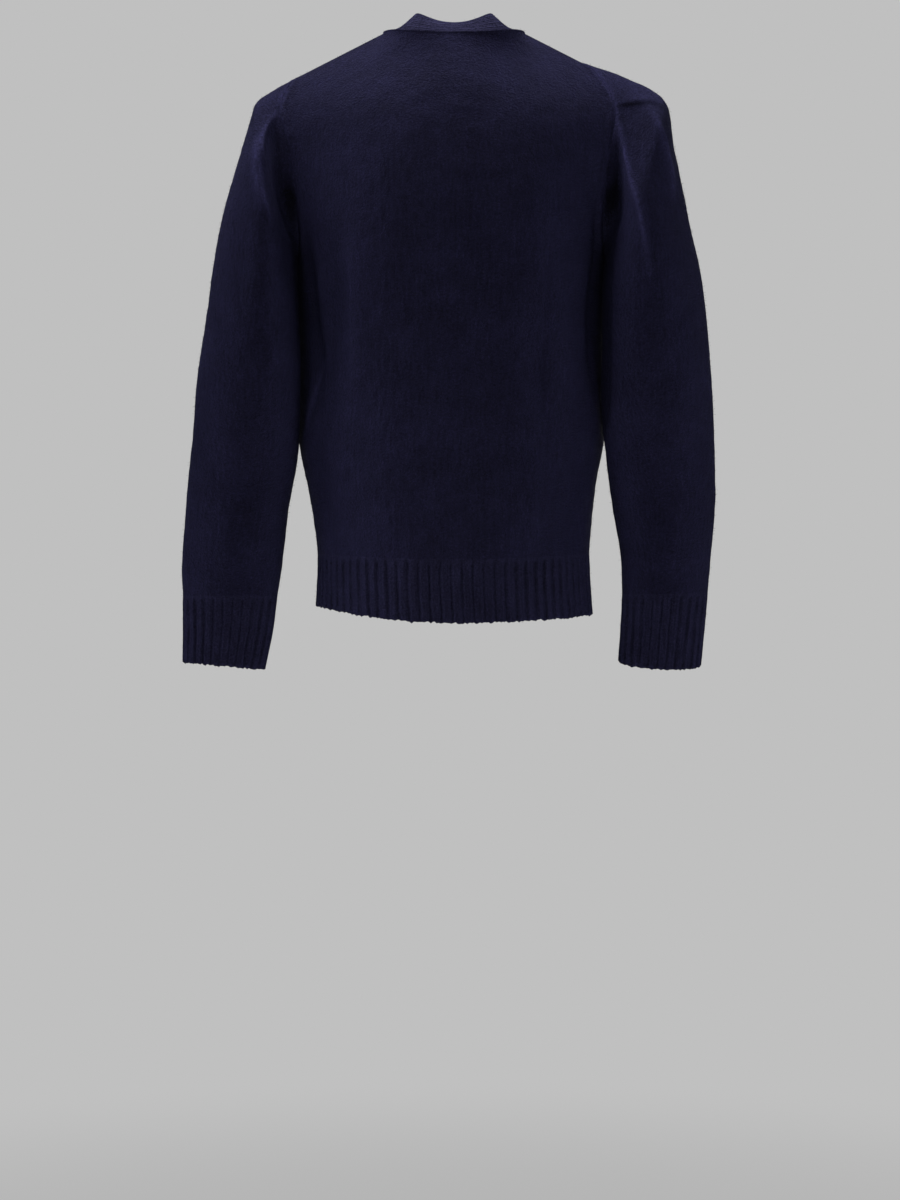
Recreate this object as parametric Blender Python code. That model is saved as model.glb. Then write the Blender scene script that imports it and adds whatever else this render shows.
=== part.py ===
"""Knitted wool cardigan in its worn shape: hollow, with open neck, hem and cuffs.

Metres, +Z up. The wearer faces -Y, so the wearer's left is +X. The origin is the middle
of the back neck seam's height, on the centre line, between the two shoulders. Every
depth is a distance below that height.
"""

import math
from collections import namedtuple

import bpy
import numpy as np

# Driving sizes.
WALL = 0.0025                 # plain knit
RIB_WALL = 0.0030             # ribs of the hem and cuffs, and the band
SEAM_GAP = 0.0005             # clearance between two pieces at a seam
ARMHOLE_GAP = 0.0008          # the same at an armhole, where facets on both sides are bent
BAND_WIDTH = 0.030
BAND_LAYER_GAP = 0.0004       # between the outer and the inner band where they overlap
NECK_HALF_WIDTH = 0.079       # from the centre line to the highest point of the shoulder
NECK_BACK_REACH = 0.058       # how far the back neck seam stands behind the shoulder line
NECK_RISE = 0.009             # the neck seam is this much higher at the shoulders
NECK_SQUARE = 2.6             # 2 would make the back neck half an ellipse; more is squarer
SHOULDER_SLOPE = 0.51         # fall of the shoulder line per metre
SHOULDER_LINE_Y = 0.003
V_DEPTH = 0.235               # from the origin's height down to the point of the V neck
V_BULGE = 0.10                # how much the V's edges bow outward, as a share of its width
BUTTON_COUNT = 6
FIRST_BUTTON_DEPTH = 0.262
BUTTON_SPACING = 0.070
BUTTON_RADIUS = 0.010
BUTTON_THICKNESS = 0.0032
BUTTON_EASE = 0.0008          # rounding of the button's edges
BUTTON_RIM = 0.0024           # width of the raised rim
BUTTON_DISH = 0.0010          # how deep the middle of the button is sunk
BUTTON_HOLE_RADIUS = 0.0011
BUTTON_HOLE_SPREAD = 0.0019   # hole centres from the button's axes
BUTTONHOLE_LENGTH = 0.022
BUTTONHOLE_WIDTH = 0.0036
THREAD_RADIUS = 0.0012
THREAD_GAP = 0.0003           # between a thread's ends and the button and the inner band
BUTTON_CLEARANCE = 0.0005     # between a button and the band
CUT_MARGIN = 0.002            # how far a cutter runs past what it cuts

# How finely the cloth is faceted.
ARMHOLE_STEPS = 10            # from the shoulder tip round to the underarm
NECK_STEPS = 5                # from the centre back to the shoulder line
SHOULDER_STEPS = 5            # along a shoulder
FRONT_STEPS = 7               # across one front
SLEEVE_STEPS = 16             # along a sleeve, from armhole to cuff
CUFF_STEPS = 3
BUTTON_STEPS = 20
HOLE_STEPS = 6

# The armhole seam, from the shoulder tip (first row) to the underarm (last row).
# drop is the share of the armhole's height; out is the distance from the centre line.
Armhole = namedtuple(
    "Armhole",
    "drop back_out_left back_out_right back_y front_out_left front_out_right front_y",
)
ARMHOLE = (
    Armhole(0.00, 0.172, 0.143, 0.003, 0.172, 0.143, 0.003),
    Armhole(0.07, 0.183, 0.157, 0.027, 0.174, 0.152, -0.020),
    Armhole(0.25, 0.193, 0.177, 0.050, 0.172, 0.160, -0.046),
    Armhole(0.50, 0.179, 0.171, 0.056, 0.168, 0.161, -0.058),
    Armhole(0.75, 0.173, 0.165, 0.044, 0.167, 0.161, -0.050),
    Armhole(0.93, 0.172, 0.165, 0.020, 0.170, 0.164, -0.024),
    Armhole(1.00, 0.175, 0.168, 0.000, 0.175, 0.168, 0.000),
)
UNDERARM_DEPTH = {"left": 0.240, "right": 0.238}

# The side seams below the underarm: distance from the centre line at each depth.
# The seams swing a little to the front, clear of the sleeves that hang behind them.
Side = namedtuple("Side", "depth left right y")
SIDES = (
    Side(0.238, 0.1750, 0.1680, 0.000),
    Side(0.244, 0.1763, 0.1692, -0.004),
    Side(0.255, 0.1772, 0.1700, -0.012),
    Side(0.285, 0.1782, 0.1710, -0.021),
    Side(0.325, 0.1770, 0.1700, -0.025),
    Side(0.370, 0.1762, 0.1690, -0.029),
    Side(0.415, 0.1760, 0.1698, -0.031),
    Side(0.450, 0.1745, 0.1688, -0.029),
    Side(0.476, 0.1692, 0.1630, -0.022),
    Side(0.515, 0.1608, 0.1570, -0.013),
    Side(0.573, 0.1530, 0.1518, -0.008),
    Side(0.645, 0.1555, 0.1555, -0.006),
)
SIDE_ROWS = (0.573, 0.522, 0.482, 0.450, 0.410, 0.365, 0.320, 0.275)

# The centre lines of the back and the fronts, in profile.
Profile = namedtuple("Profile", "depth back_y front_y")
PROFILE = (
    Profile(0.000, 0.058, -0.004),
    Profile(0.030, 0.077, -0.028),
    Profile(0.060, 0.091, -0.050),
    Profile(0.100, 0.103, -0.075),
    Profile(0.150, 0.111, -0.098),
    Profile(0.215, 0.113, -0.115),
    Profile(0.300, 0.109, -0.120),
    Profile(0.400, 0.108, -0.118),
    Profile(0.500, 0.114, -0.115),
    Profile(0.581, 0.119, -0.114),
    Profile(0.650, 0.120, -0.112),
)

# How a level goes across from the centre line to its edge: bow 2 is an ellipse that turns
# fully to the side, and bow 1 a shallow curve that still faces back or front. A higher
# square is a flatter back. side_y is where the curve heads for; the seam itself may leave it.
Level = namedtuple("Level", "depth bow square back_side_y front_side_y")
LEVELS = (
    Level(0.000, 1.00, 2.4, 0.003, 0.003),
    Level(0.030, 1.00, 2.4, 0.012, -0.010),
    Level(0.060, 1.00, 2.5, 0.023, -0.023),
    Level(0.100, 1.02, 2.5, 0.036, -0.036),
    Level(0.150, 1.16, 2.6, 0.041, -0.042),
    Level(0.190, 1.40, 2.7, 0.032, -0.034),
    Level(0.240, 1.72, 2.7, 0.009, -0.020),
    Level(0.300, 1.94, 2.6, -0.017, -0.021),
    Level(0.380, 2.00, 2.5, -0.029, -0.029),
    Level(0.450, 2.00, 2.4, -0.028, -0.028),
    Level(0.510, 2.00, 2.3, -0.014, -0.014),
    Level(0.580, 2.00, 2.3, -0.008, -0.008),
    Level(0.660, 2.00, 2.3, -0.006, -0.006),
)
SEAM_PULL = 7.0               # the higher, the nearer to the seam its own bends stay

# The centre line's own depths where the plain knit meets the rib, and at the hem's edge.
CENTRE_RIB_DEPTH = {"back": 0.581, "front": 0.576}
CENTRE_HEM_DEPTH = {"back": 0.6485, "front": 0.642}
SIDE_RIB_DEPTH = 0.573
SIDE_HEM_DEPTH = {"left": 0.630, "right": 0.640}
HEM_SHARES = (1.0, 0.5, 0.0)  # levels of the rib hem, from its edge up to the plain knit
SHOULDER_BLEND = 0.100        # above this depth the panels turn over towards the shoulder
SHOULDER_TURN = {"back": (-0.040, 0.013), "front": (0.000, 0.013)}  # that turn's y and z
CORNER_BLEND = 0.032          # above this depth they take on the neck's corners too

# Sections across each sleeve: its outer and inner line seen from behind, and its depth.
# drop is how much lower the section's back hangs than its middle.
Section = namedtuple(
    "Section",
    "outer_out outer_depth inner_out inner_depth middle_y half_depth drop",
    defaults=(0.0,),
)
SLEEVES = {
    "left": (
        Section(0.1720, 0.038, 0.1750, 0.2400, 0.000, 0.057),
        Section(0.1975, 0.053, 0.1755, 0.2412, 0.004, 0.064),
        Section(0.2175, 0.069, 0.1758, 0.2440, 0.009, 0.069),
        Section(0.2265, 0.093, 0.1755, 0.2490, 0.014, 0.071),
        Section(0.2410, 0.140, 0.1746, 0.2620, 0.019, 0.071),
        Section(0.2565, 0.198, 0.1735, 0.2860, 0.024, 0.068),
        Section(0.2680, 0.258, 0.1722, 0.3190, 0.025, 0.063),
        Section(0.2770, 0.325, 0.1706, 0.3620, 0.024, 0.055),
        Section(0.2865, 0.390, 0.1702, 0.4120, 0.019, 0.049),
        Section(0.2935, 0.455, 0.1746, 0.4640, 0.005, 0.046),
        Section(0.3010, 0.518, 0.1852, 0.5180, -0.010, 0.043),
        Section(0.3055, 0.575, 0.1920, 0.5720, -0.017, 0.038),
        Section(0.3055, 0.620, 0.1990, 0.6200, -0.021, 0.031),
        Section(0.3055, 0.656, 0.2045, 0.6600, -0.023, 0.025),
        Section(0.3060, 0.694, 0.2130, 0.7020, -0.024, 0.021),
    ),
    "right": (
        Section(0.1430, 0.023, 0.1680, 0.2380, 0.000, 0.057),
        Section(0.1840, 0.038, 0.1684, 0.2394, 0.004, 0.064),
        Section(0.2175, 0.054, 0.1686, 0.2425, 0.009, 0.069),
        Section(0.2378, 0.077, 0.1682, 0.2475, 0.014, 0.071),
        Section(0.2455, 0.125, 0.1668, 0.2600, 0.019, 0.071),
        Section(0.2570, 0.188, 0.1652, 0.2840, 0.024, 0.068),
        Section(0.2715, 0.253, 0.1645, 0.3180, 0.026, 0.063),
        Section(0.2820, 0.322, 0.1636, 0.3620, 0.025, 0.055),
        Section(0.2870, 0.390, 0.1636, 0.4120, 0.020, 0.049),
        Section(0.2915, 0.455, 0.1694, 0.4640, 0.004, 0.046),
        Section(0.2925, 0.518, 0.1785, 0.5180, -0.011, 0.043),
        Section(0.2895, 0.575, 0.1875, 0.5720, -0.017, 0.038),
        Section(0.2860, 0.616, 0.1895, 0.6180, -0.021, 0.033, 0.001),
        Section(0.2825, 0.656, 0.1880, 0.6560, -0.023, 0.029, 0.003),
        Section(0.2785, 0.698, 0.1855, 0.6930, -0.024, 0.027, 0.006),
    ),
}
CUFF_ROW = 12                 # the section where the sleeve meets its cuff
CAP_ROWS = 4.0                # rows over which the armhole's shape fades into the sections
SLEEVE_EASE = {"left": 0.0030, "right": 0.0045}  # keeps its coarse facets clear of the body
EASE_ROWS = (0.0, 0.75, 8.0, 10.0)  # the sections between which that ease comes and goes

# How far the neck band stands up from level, from the centre back to the shoulder line.
Stand = namedtuple("Stand", "share degrees")
STANDS = (
    Stand(0.00, 32.0),
    Stand(0.35, 38.0),
    Stand(0.55, 46.0),
    Stand(0.70, 52.0),
    Stand(0.78, 48.0),
    Stand(0.84, 14.0),
    Stand(0.92, 5.0),
    Stand(1.00, 4.0),
)
FRONT_LEAN_DEPTH = 0.070      # by this depth the band lies flat on the chest
LAYER_FADE = (0.150, 0.190)   # above the V the two bands leave their layers between these

NAVY_KNIT = (0.012, 0.013, 0.040)
NAVY_RIB = (0.010, 0.011, 0.036)
NAVY_BAND = (0.013, 0.014, 0.042)
NAVY_THREAD = (0.016, 0.017, 0.045)
HORN = (0.020, 0.014, 0.012)

SIGN = {"left": 1.0, "right": -1.0}
FACING = {"back": 1.0, "front": -1.0}


def smooth(at, stations, values):
    """The values at other places, on a smooth curve through those given at the stations."""
    at = np.asarray(at, dtype=float)
    stations = np.asarray(stations, dtype=float)
    values = np.asarray(values, dtype=float)
    slopes = np.gradient(values, stations)
    span = np.clip(np.searchsorted(stations, at, side="right") - 1, 0, len(stations) - 2)
    width = stations[span + 1] - stations[span]
    t = np.clip((at - stations[span]) / width, 0.0, 1.0)
    start = values[span] * (1 + 2 * t) * (1 - t) ** 2 + slopes[span] * width * t * (1 - t) ** 2
    end = values[span + 1] * t * t * (3 - 2 * t) - slopes[span + 1] * width * t * t * (1 - t)
    return start + end


def column(table, name):
    """One named column of a table."""
    return [getattr(row, name) for row in table]


def unit(vectors):
    """Vectors of length one, along the last axis."""
    return vectors / np.linalg.norm(vectors, axis=-1, keepdims=True)


def share_above(value, low, high):
    """0 up to low, 1 from high, and even between."""
    return np.clip((value - low) / (high - low), 0.0, 1.0)


def shoulder_height(out):
    """Height of the shoulder line at a distance from the centre line."""
    return NECK_RISE - SHOULDER_SLOPE * (out - NECK_HALF_WIDTH)


def armhole_seam(side, face):
    """The armhole seam's points on the back or the front, from shoulder tip to underarm."""
    turns = np.linspace(0.0, len(ARMHOLE) - 1.0, ARMHOLE_STEPS + 1)
    rows = range(len(ARMHOLE))
    tip_depth = -shoulder_height(getattr(ARMHOLE[0], "back_out_" + side))
    drop = smooth(turns, rows, column(ARMHOLE, "drop"))
    out = smooth(turns, rows, column(ARMHOLE, face + "_out_" + side))
    y = smooth(turns, rows, column(ARMHOLE, face + "_y"))
    depth = tip_depth + (UNDERARM_DEPTH[side] - tip_depth) * drop
    return np.stack([SIGN[side] * out, y, -depth], axis=1)


def armhole_inward(side, face):
    """Unit vectors from the armhole seam towards the middle of the armhole."""
    angle = np.linspace(0.0, math.pi, ARMHOLE_STEPS + 1)
    return np.stack([0 * angle, -FACING[face] * np.sin(angle), -np.cos(angle)], axis=1)


def side_edge(side, depths, face):
    """Points down the side seam; the back and front stop half a seam gap from it."""
    out = smooth(depths, column(SIDES, "depth"), column(SIDES, side))
    y = smooth(depths, column(SIDES, "depth"), column(SIDES, "y"))
    y = y + 0.5 * SEAM_GAP * FACING[face]
    return np.stack([SIGN[side] * out, y, -np.asarray(depths, dtype=float)], axis=1)


def panel_edges(side, face):
    """The outer edge of a panel from its rib up to the shoulder tip, a point for each level."""
    seam = armhole_seam(side, face)[::-1]
    seam[[0, -1], 1] += 0.5 * SEAM_GAP * FACING[face]
    return np.concatenate([side_edge(side, SIDE_ROWS, face), seam])


def levels(face):
    """How far up each level is, from 0 at the rib to 1 at the shoulder line."""
    heights = 0.5 * (panel_edges("left", face)[:, 2] + panel_edges("right", face)[:, 2])
    return (heights - heights[0]) / (heights[-1] - heights[0])


def across(edge, centre, ratio, face):
    """Points across one level: ratio is 0 on the centre line and 1 at the edge."""
    depth = max(-centre[2], 0.0)
    stations = column(LEVELS, "depth")
    bow = smooth(depth, stations, column(LEVELS, "bow"))
    square = smooth(depth, stations, column(LEVELS, "square"))
    side_y = smooth(depth, stations, column(LEVELS, face + "_side_y"))
    reach = np.clip(1.0 - ratio ** square, 0.0, 1.0) ** (1.0 / bow)
    x = edge[0] * ratio
    y = side_y + (centre[1] - side_y) * reach + (edge[1] - side_y) * ratio ** SEAM_PULL
    z = edge[2] + (centre[2] - edge[2]) * (1.0 - ratio ** 2)
    return np.stack([x, y, z], axis=1)


def top_line(out, sign, face):
    """The upper edge of a panel: the neck seam, then the shoulder line out to its tip."""
    share = np.clip(out / NECK_HALF_WIDTH, 0.0, 1.0)
    reach = NECK_BACK_REACH - SHOULDER_LINE_Y
    neck_y = SHOULDER_LINE_Y + reach * np.sqrt(1.0 - share ** NECK_SQUARE)
    on_neck = (out < NECK_HALF_WIDTH) & (face == "back")
    y = np.where(on_neck, neck_y, SHOULDER_LINE_Y)
    z = np.where(on_neck, NECK_RISE * share ** 2, shoulder_height(out))
    gap = 0.5 * SEAM_GAP * FACING[face]
    return np.stack([sign * out, y + gap, z], axis=1)


def half_panel(side, face, ratios):
    """One half of a panel as levels of points; ratios(out, depth) places those of a level."""
    sign = SIGN[side]
    edges = panel_edges(side, face)
    shares = levels(face)
    profile_y = column(PROFILE, face + "_y")
    rows = []
    for edge, share in zip(edges, shares):
        depth = CENTRE_RIB_DEPTH[face] * (1.0 - share)
        centre_y = smooth(depth, column(PROFILE, "depth"), profile_y)
        ratio = ratios(abs(edge[0]), depth)
        points = across(edge, (0.0, centre_y, -depth), ratio, face)
        # Near the top, the level leaves its own curve for the neck and shoulder lines.
        own_top = across(edges[-1], (0.0, profile_y[0], 0.0), ratio, face)
        change = top_line(ratio * abs(edges[-1][0]), sign, face) - own_top
        turn = np.sin(math.pi * ratio)[:, None] ** 1.6 * (0.0, *SHOULDER_TURN[face])
        turning = share_above(SHOULDER_BLEND - depth, 0.0, SHOULDER_BLEND) ** 2
        cornering = share_above(CORNER_BLEND - depth, 0.0, CORNER_BLEND) ** 1.5
        rows.append(points + turn * turning + (change - turn) * cornering)
    return np.array(rows)


def back_ratios(side):
    """Where the back's points lie across a level, the same on each."""
    corner = NECK_HALF_WIDTH / getattr(ARMHOLE[0], "back_out_" + side)
    neck = corner * np.sin(np.linspace(0.0, math.pi / 2, NECK_STEPS + 1)) ** (2.0 / NECK_SQUARE)
    shoulder = np.sin(np.linspace(math.asin(corner), math.pi / 2, SHOULDER_STEPS + 1))
    ratio = np.concatenate([neck, shoulder[1:]])
    return lambda out, depth: ratio


def front_inner_out(depth):
    """Distance from the centre line to the front's inner edge: the band's edge, then the V."""
    up = share_above(V_DEPTH - depth, 0.0, V_DEPTH)
    lean = up + V_BULGE * np.sin(math.pi * up)
    return 0.5 * BAND_WIDTH + (NECK_HALF_WIDTH - 0.5 * BAND_WIDTH) * lean


def front_ratios(out, depth):
    """Where a front's points lie across a level, from its inner edge to its outer one."""
    inner = math.asin(front_inner_out(depth) / out)
    return np.sin(np.linspace(inner, math.pi / 2, FRONT_STEPS + 1))


def hem_grid(side, face, ratios):
    """One half of a rib hem, from its edge up to a seam gap below the plain knit."""
    rows = []
    side_top = SIDE_RIB_DEPTH + SEAM_GAP
    centre_top = CENTRE_RIB_DEPTH[face] + SEAM_GAP
    for share in HEM_SHARES:
        side_depth = side_top + (SIDE_HEM_DEPTH[side] - side_top) * share
        depth = centre_top + (CENTRE_HEM_DEPTH[face] - centre_top) * share
        edge = side_edge(side, [side_depth], face)[0]
        centre_y = smooth(depth, column(PROFILE, "depth"), column(PROFILE, face + "_y"))
        ratio = ratios(abs(edge[0]), depth)
        rows.append(across(edge, (0.0, centre_y, -depth), ratio, face))
    return np.array(rows)


def mirrored_pair(right_half, left_half):
    """Two halves as one grid, from the right edge to the left, with one centre column."""
    return np.concatenate([right_half[:, :0:-1], left_half], axis=1)


def grid_normals(grid, outward, closed=False):
    """Unit normals of a grid of points, turned to the side of the outward vectors."""
    along = np.gradient(grid, axis=0)
    if closed:
        around = 0.5 * (np.roll(grid, -1, axis=1) - np.roll(grid, 1, axis=1))
    else:
        around = np.gradient(grid, axis=1)
    normals = unit(np.cross(along, around))
    turned = np.sign(np.sum(normals * outward, axis=-1, keepdims=True))
    return normals * np.where(turned == 0, 1.0, turned)


def wall_mesh(name, outer, inner, closed=False):
    """A closed wall of cloth between an outer and an inner grid of the same size."""
    rows, cols = outer.shape[:2]
    points = np.concatenate([outer.reshape(-1, 3), inner.reshape(-1, 3)])
    index = np.arange(rows * cols).reshape(rows, cols)
    last = cols if closed else cols - 1
    faces = []
    for i in range(rows - 1):
        for j in range(last):
            k = (j + 1) % cols
            quad = (index[i, j], index[i, k], index[i + 1, k], index[i + 1, j])
            faces.append(quad)
            faces.append(tuple(corner + rows * cols for corner in reversed(quad)))
    rims = [index[0, ::-1], index[-1]]
    if not closed:
        rims += [index[:, 0], index[::-1, -1]]
    for rim in rims:
        count = len(rim) if closed else len(rim) - 1
        for j in range(count):
            a, b = rim[j], rim[(j + 1) % len(rim)]
            faces.append((a, b, b + rows * cols, a + rows * cols))
    mesh = bpy.data.meshes.new(name)
    mesh.from_pydata([tuple(p) for p in points], [], [tuple(int(v) for v in f) for f in faces])
    mesh.validate()
    turn_outward(mesh)
    mesh.shade_smooth()
    mesh.set_sharp_from_angle(angle=math.radians(50))
    return mesh


def turn_outward(mesh):
    """Flips a closed mesh whose faces point in."""
    volume = 0.0
    for triangle in triangles_of(mesh):
        a, b, c = (mesh.vertices[v].co for v in triangle)
        volume += a.dot(b.cross(c))
    if volume < 0:
        mesh.flip_normals()


def triangles_of(mesh):
    """The vertex numbers of each triangle."""
    mesh.calc_loop_triangles()
    return [tuple(triangle.vertices) for triangle in mesh.loop_triangles]


def material(name, colour, roughness, sheen):
    """A Principled material."""
    made = bpy.data.materials.new(name)
    made.use_nodes = True
    shader = made.node_tree.nodes["Principled BSDF"]
    shader.inputs["Base Color"].default_value = (*colour, 1.0)
    shader.inputs["Roughness"].default_value = roughness
    shader.inputs["Metallic"].default_value = 0.0
    shader.inputs["Sheen Weight"].default_value = sheen
    return made


def add(name, mesh, colour, roughness=0.95, sheen=0.5):
    """Puts a mesh in the scene as a named object with a material of its own."""
    mesh.materials.clear()
    mesh.materials.append(material(name + "_finish", colour, roughness, sheen))
    made = bpy.data.objects.new(name, mesh)
    bpy.context.scene.collection.objects.link(made)
    return made


def inward_of_panel(grid, face, neck_columns):
    """Unit vectors from a panel's outer points to its inner ones, matched at each seam."""
    facing = np.zeros_like(grid)
    facing[..., 0] = 2.0 * grid[..., 0]
    facing[..., 1] = FACING[face]
    facing[..., 2] = 0.3
    inward = -grid_normals(grid, facing)
    shoulder = np.ones(grid.shape[1], dtype=bool)
    shoulder[neck_columns] = False
    inward[-1, shoulder] = (0.0, 0.0, -1.0)
    return inward


def set_outer_column(inward, outer, col, side, face):
    """Makes a panel's inward vectors agree with its neighbours' at the side seam and armhole."""
    side_rows = len(SIDE_ROWS)
    inward[:side_rows, col] = (-SIGN[side], 0.0, 0.0)
    inward[side_rows:, col] = armhole_inward(side, face)[::-1]
    # At the underarm the wall goes on up the side seam's slope, so that its edge stays flat.
    upward = outer[side_rows, col] - outer[side_rows - 1, col]
    inward[side_rows, col] = unit(upward * (0.0, 1.0, 1.0))


def make_back():
    """The back: its outer and inner grids, from the rib up, right side first."""
    right = half_panel("right", "back", back_ratios("right"))
    left = half_panel("left", "back", back_ratios("left"))
    outer = mirrored_pair(right, left)
    middle = right.shape[1] - 1
    neck = slice(middle - NECK_STEPS + 1, middle + NECK_STEPS)
    inward = inward_of_panel(outer, "back", neck)
    set_outer_column(inward, outer, 0, "right", "back")
    set_outer_column(inward, outer, -1, "left", "back")
    inner = outer + WALL * inward
    add("back", wall_mesh("back", outer, inner), NAVY_KNIT)
    return outer, inner


def face_forward(inward, outer):
    """Turns the inward vectors of a front's inner edge straight back where the bands overlap."""
    fade = share_above(-outer[:, 2], *LAYER_FADE)
    inward[:, 0] *= 1.0 - fade
    return unit(inward)


def make_front(side):
    """One front: its outer and inner grids, from the rib up, inner edge first."""
    outer = half_panel(side, "front", front_ratios)
    inward = inward_of_panel(outer, "front", slice(0, 0))
    inward[:, 0] = face_forward(inward[:, 0], outer[:, 0])
    set_outer_column(inward, outer, -1, side, "front")
    inner = outer + WALL * inward
    name = "front_" + side
    add(name, wall_mesh(name, outer, inner), NAVY_KNIT)
    return outer, inner


def level_inward(grid, face):
    """Level unit vectors into the garment, for a rib hem."""
    facing = np.zeros_like(grid)
    facing[..., 1] = FACING[face]
    facing[..., 0] = 8.0 * grid[..., 0]
    inward = -grid_normals(grid, facing)
    inward[..., 2] = 0.0
    return unit(inward)


def make_hems():
    """The rib hems; returns those of the fronts for the band to follow."""
    halves = [hem_grid(side, "back", back_ratios(side)) for side in ("right", "left")]
    outer = mirrored_pair(*halves)
    inward = level_inward(outer, "back")
    inward[:, 0] = (1.0, 0.0, 0.0)
    inward[:, -1] = (-1.0, 0.0, 0.0)
    add("hem_rib_back", wall_mesh("hem_rib_back", outer, outer + RIB_WALL * inward), NAVY_RIB)
    hems = {}
    for side in ("left", "right"):
        outer = hem_grid(side, "front", front_ratios)
        inward = level_inward(outer, "front")
        inward[:, 0] = face_forward(inward[:, 0], outer[:, 0])
        inward[:, -1] = (-SIGN[side], 0.0, 0.0)
        inner = outer + RIB_WALL * inward
        name = "hem_rib_" + side
        add(name, wall_mesh(name, outer, inner), NAVY_RIB)
        hems[side] = (outer, inner)
    return hems


def section_rings(side, rows):
    """Plain rings of points round a sleeve at fractional rows of its table of sections."""
    table = SLEEVES[side]
    stations = range(len(table))
    sizes = {name: smooth(rows, stations, column(table, name))[:, None] for name in Section._fields}
    angle = np.linspace(0.0, 2 * math.pi, 2 * ARMHOLE_STEPS + 1)[:-1]
    outer = 0.5 + 0.5 * np.cos(angle)
    ease = SLEEVE_EASE[side] * np.interp(rows, EASE_ROWS, (0.0, 1.0, 1.0, 0.0))[:, None]
    x = sizes["outer_out"] * outer + (sizes["inner_out"] + ease) * (1.0 - outer)
    z = sizes["outer_depth"] * outer + sizes["inner_depth"] * (1.0 - outer)
    z = z + sizes["drop"] * np.sin(angle)
    y = sizes["middle_y"] + sizes["half_depth"] * np.sin(angle)
    return np.stack([SIGN[side] * x, y, -z], axis=2)


def sleeve_rings(side, rows):
    """Rings round a sleeve; the first keep the armhole's outline, which fades into the rest."""
    change = full_armhole(side) - section_rings(side, [0.0])[0]
    fade = np.cos(0.5 * math.pi * share_above(rows, 0.0, CAP_ROWS)) ** 2
    return section_rings(side, rows) + fade[:, None, None] * change


def full_armhole(side):
    """The whole armhole seam: down the back to the underarm, then up the front."""
    back = armhole_seam(side, "back")
    front = armhole_seam(side, "front")
    return np.concatenate([back, front[-2:0:-1]])


def full_armhole_inward(side):
    """Inward unit vectors for the whole armhole seam."""
    back = armhole_inward(side, "back")
    front = armhole_inward(side, "front")
    return np.concatenate([back, front[-2:0:-1]])


def ring_inward(rings):
    """Unit vectors from a tube's points into the tube."""
    outward = rings - rings.mean(axis=1, keepdims=True)
    return -grid_normals(rings, outward, closed=True)


def make_sleeve(side):
    """A sleeve from the armhole to its cuff, and the cuff."""
    rows = CUFF_ROW * np.linspace(0.0, 1.0, SLEEVE_STEPS + 1)
    rings = sleeve_rings(side, rows)
    inward = ring_inward(rings)
    inward[0] = full_armhole_inward(side)
    rings[0, :, 0] += SIGN[side] * ARMHOLE_GAP
    name = "sleeve_" + side
    add(name, wall_mesh(name, rings, rings + WALL * inward, closed=True), NAVY_KNIT)
    last = len(SLEEVES[side]) - 1.0
    rows = np.linspace(CUFF_ROW, last, CUFF_STEPS + 1)
    cuff = sleeve_rings(side, rows)
    cuff_inward = ring_inward(cuff)
    cuff[0] = cuff[0] + SEAM_GAP * unit(cuff[1] - cuff[0])
    name = "cuff_" + side
    add(name, wall_mesh(name, cuff, cuff + RIB_WALL * cuff_inward, closed=True), NAVY_RIB)


def lying_flat(edge_outer, edge_inner, side):
    """The direction in which the band goes on from a front's inner edge, in its surface."""
    along = np.gradient(edge_outer, axis=0)
    outward = unit(edge_outer - edge_inner)
    across_band = unit(np.cross(along, outward))
    turned = np.sign(across_band[:, :1] * -SIGN[side])
    return across_band * turned


def standing(whole_neck):
    """The band's direction at the back neck, its two corners left out: inward and raised."""
    along = np.gradient(whole_neck, axis=0)[1:-1]
    neck = whole_neck[1:-1]
    level = unit(np.stack([-along[:, 1], along[:, 0], 0 * along[:, 0]], axis=1))
    outward = np.sum(level * neck, axis=1) > 0
    level[outward] *= -1.0
    share = np.abs(neck[:, 0]) / NECK_HALF_WIDTH
    degrees = smooth(share, column(STANDS, "share"), column(STANDS, "degrees"))
    raised = np.radians(degrees)[:, None]
    return np.cos(raised) * level + np.sin(raised) * (0.0, 0.0, 1.0)


def layer_of(depth, side):
    """How far a band is moved outward (left) or inward (right) where the two overlap."""
    full = 0.5 * (RIB_WALL + BAND_LAYER_GAP)
    fade = share_above(depth, *LAYER_FADE)
    return SIGN[side] * full * fade


def front_band_edge(side, front, hem):
    """The band's seam edge up one front: outer and inner corners and the way it lies."""
    outer = np.concatenate([hem[0][:-1, 0], front[0][:, 0]])
    inner = np.concatenate([hem[1][:-1, 0], front[1][:, 0]])
    direction = lying_flat(outer, inner, side)
    # Close to the shoulder the band begins to stand up.
    rise = 1.0 - share_above(-outer[:, 2], 0.0, FRONT_LEAN_DEPTH)
    raised = math.radians(STANDS[-1].degrees) * rise[:, None]
    outward = unit(outer - inner)
    direction = np.cos(raised) * direction + np.sin(raised) * outward
    shift = layer_of(-outer[:, 2], side)[:, None] * outward
    return outer + shift, inner + shift, direction


def band_wall(outer, inner, direction):
    """The band's cross-sections: seam edge corners, then those of its free edge."""
    outward = unit(outer - inner)
    outward = unit(outward - direction * np.sum(outward * direction, axis=1, keepdims=True))
    middle = 0.5 * (outer + inner) + direction * (BAND_WIDTH - SEAM_GAP)
    free_outer = middle + 0.5 * RIB_WALL * outward
    free_inner = middle - 0.5 * RIB_WALL * outward
    start_outer = outer + direction * SEAM_GAP
    start_inner = inner + direction * SEAM_GAP
    half_outer = 0.5 * (start_outer + free_outer)
    half_inner = 0.5 * (start_inner + free_inner)
    outer_grid = np.stack([start_outer, half_outer, free_outer], axis=1)
    inner_grid = np.stack([start_inner, half_inner, free_inner], axis=1)
    return outer_grid, inner_grid


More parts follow.
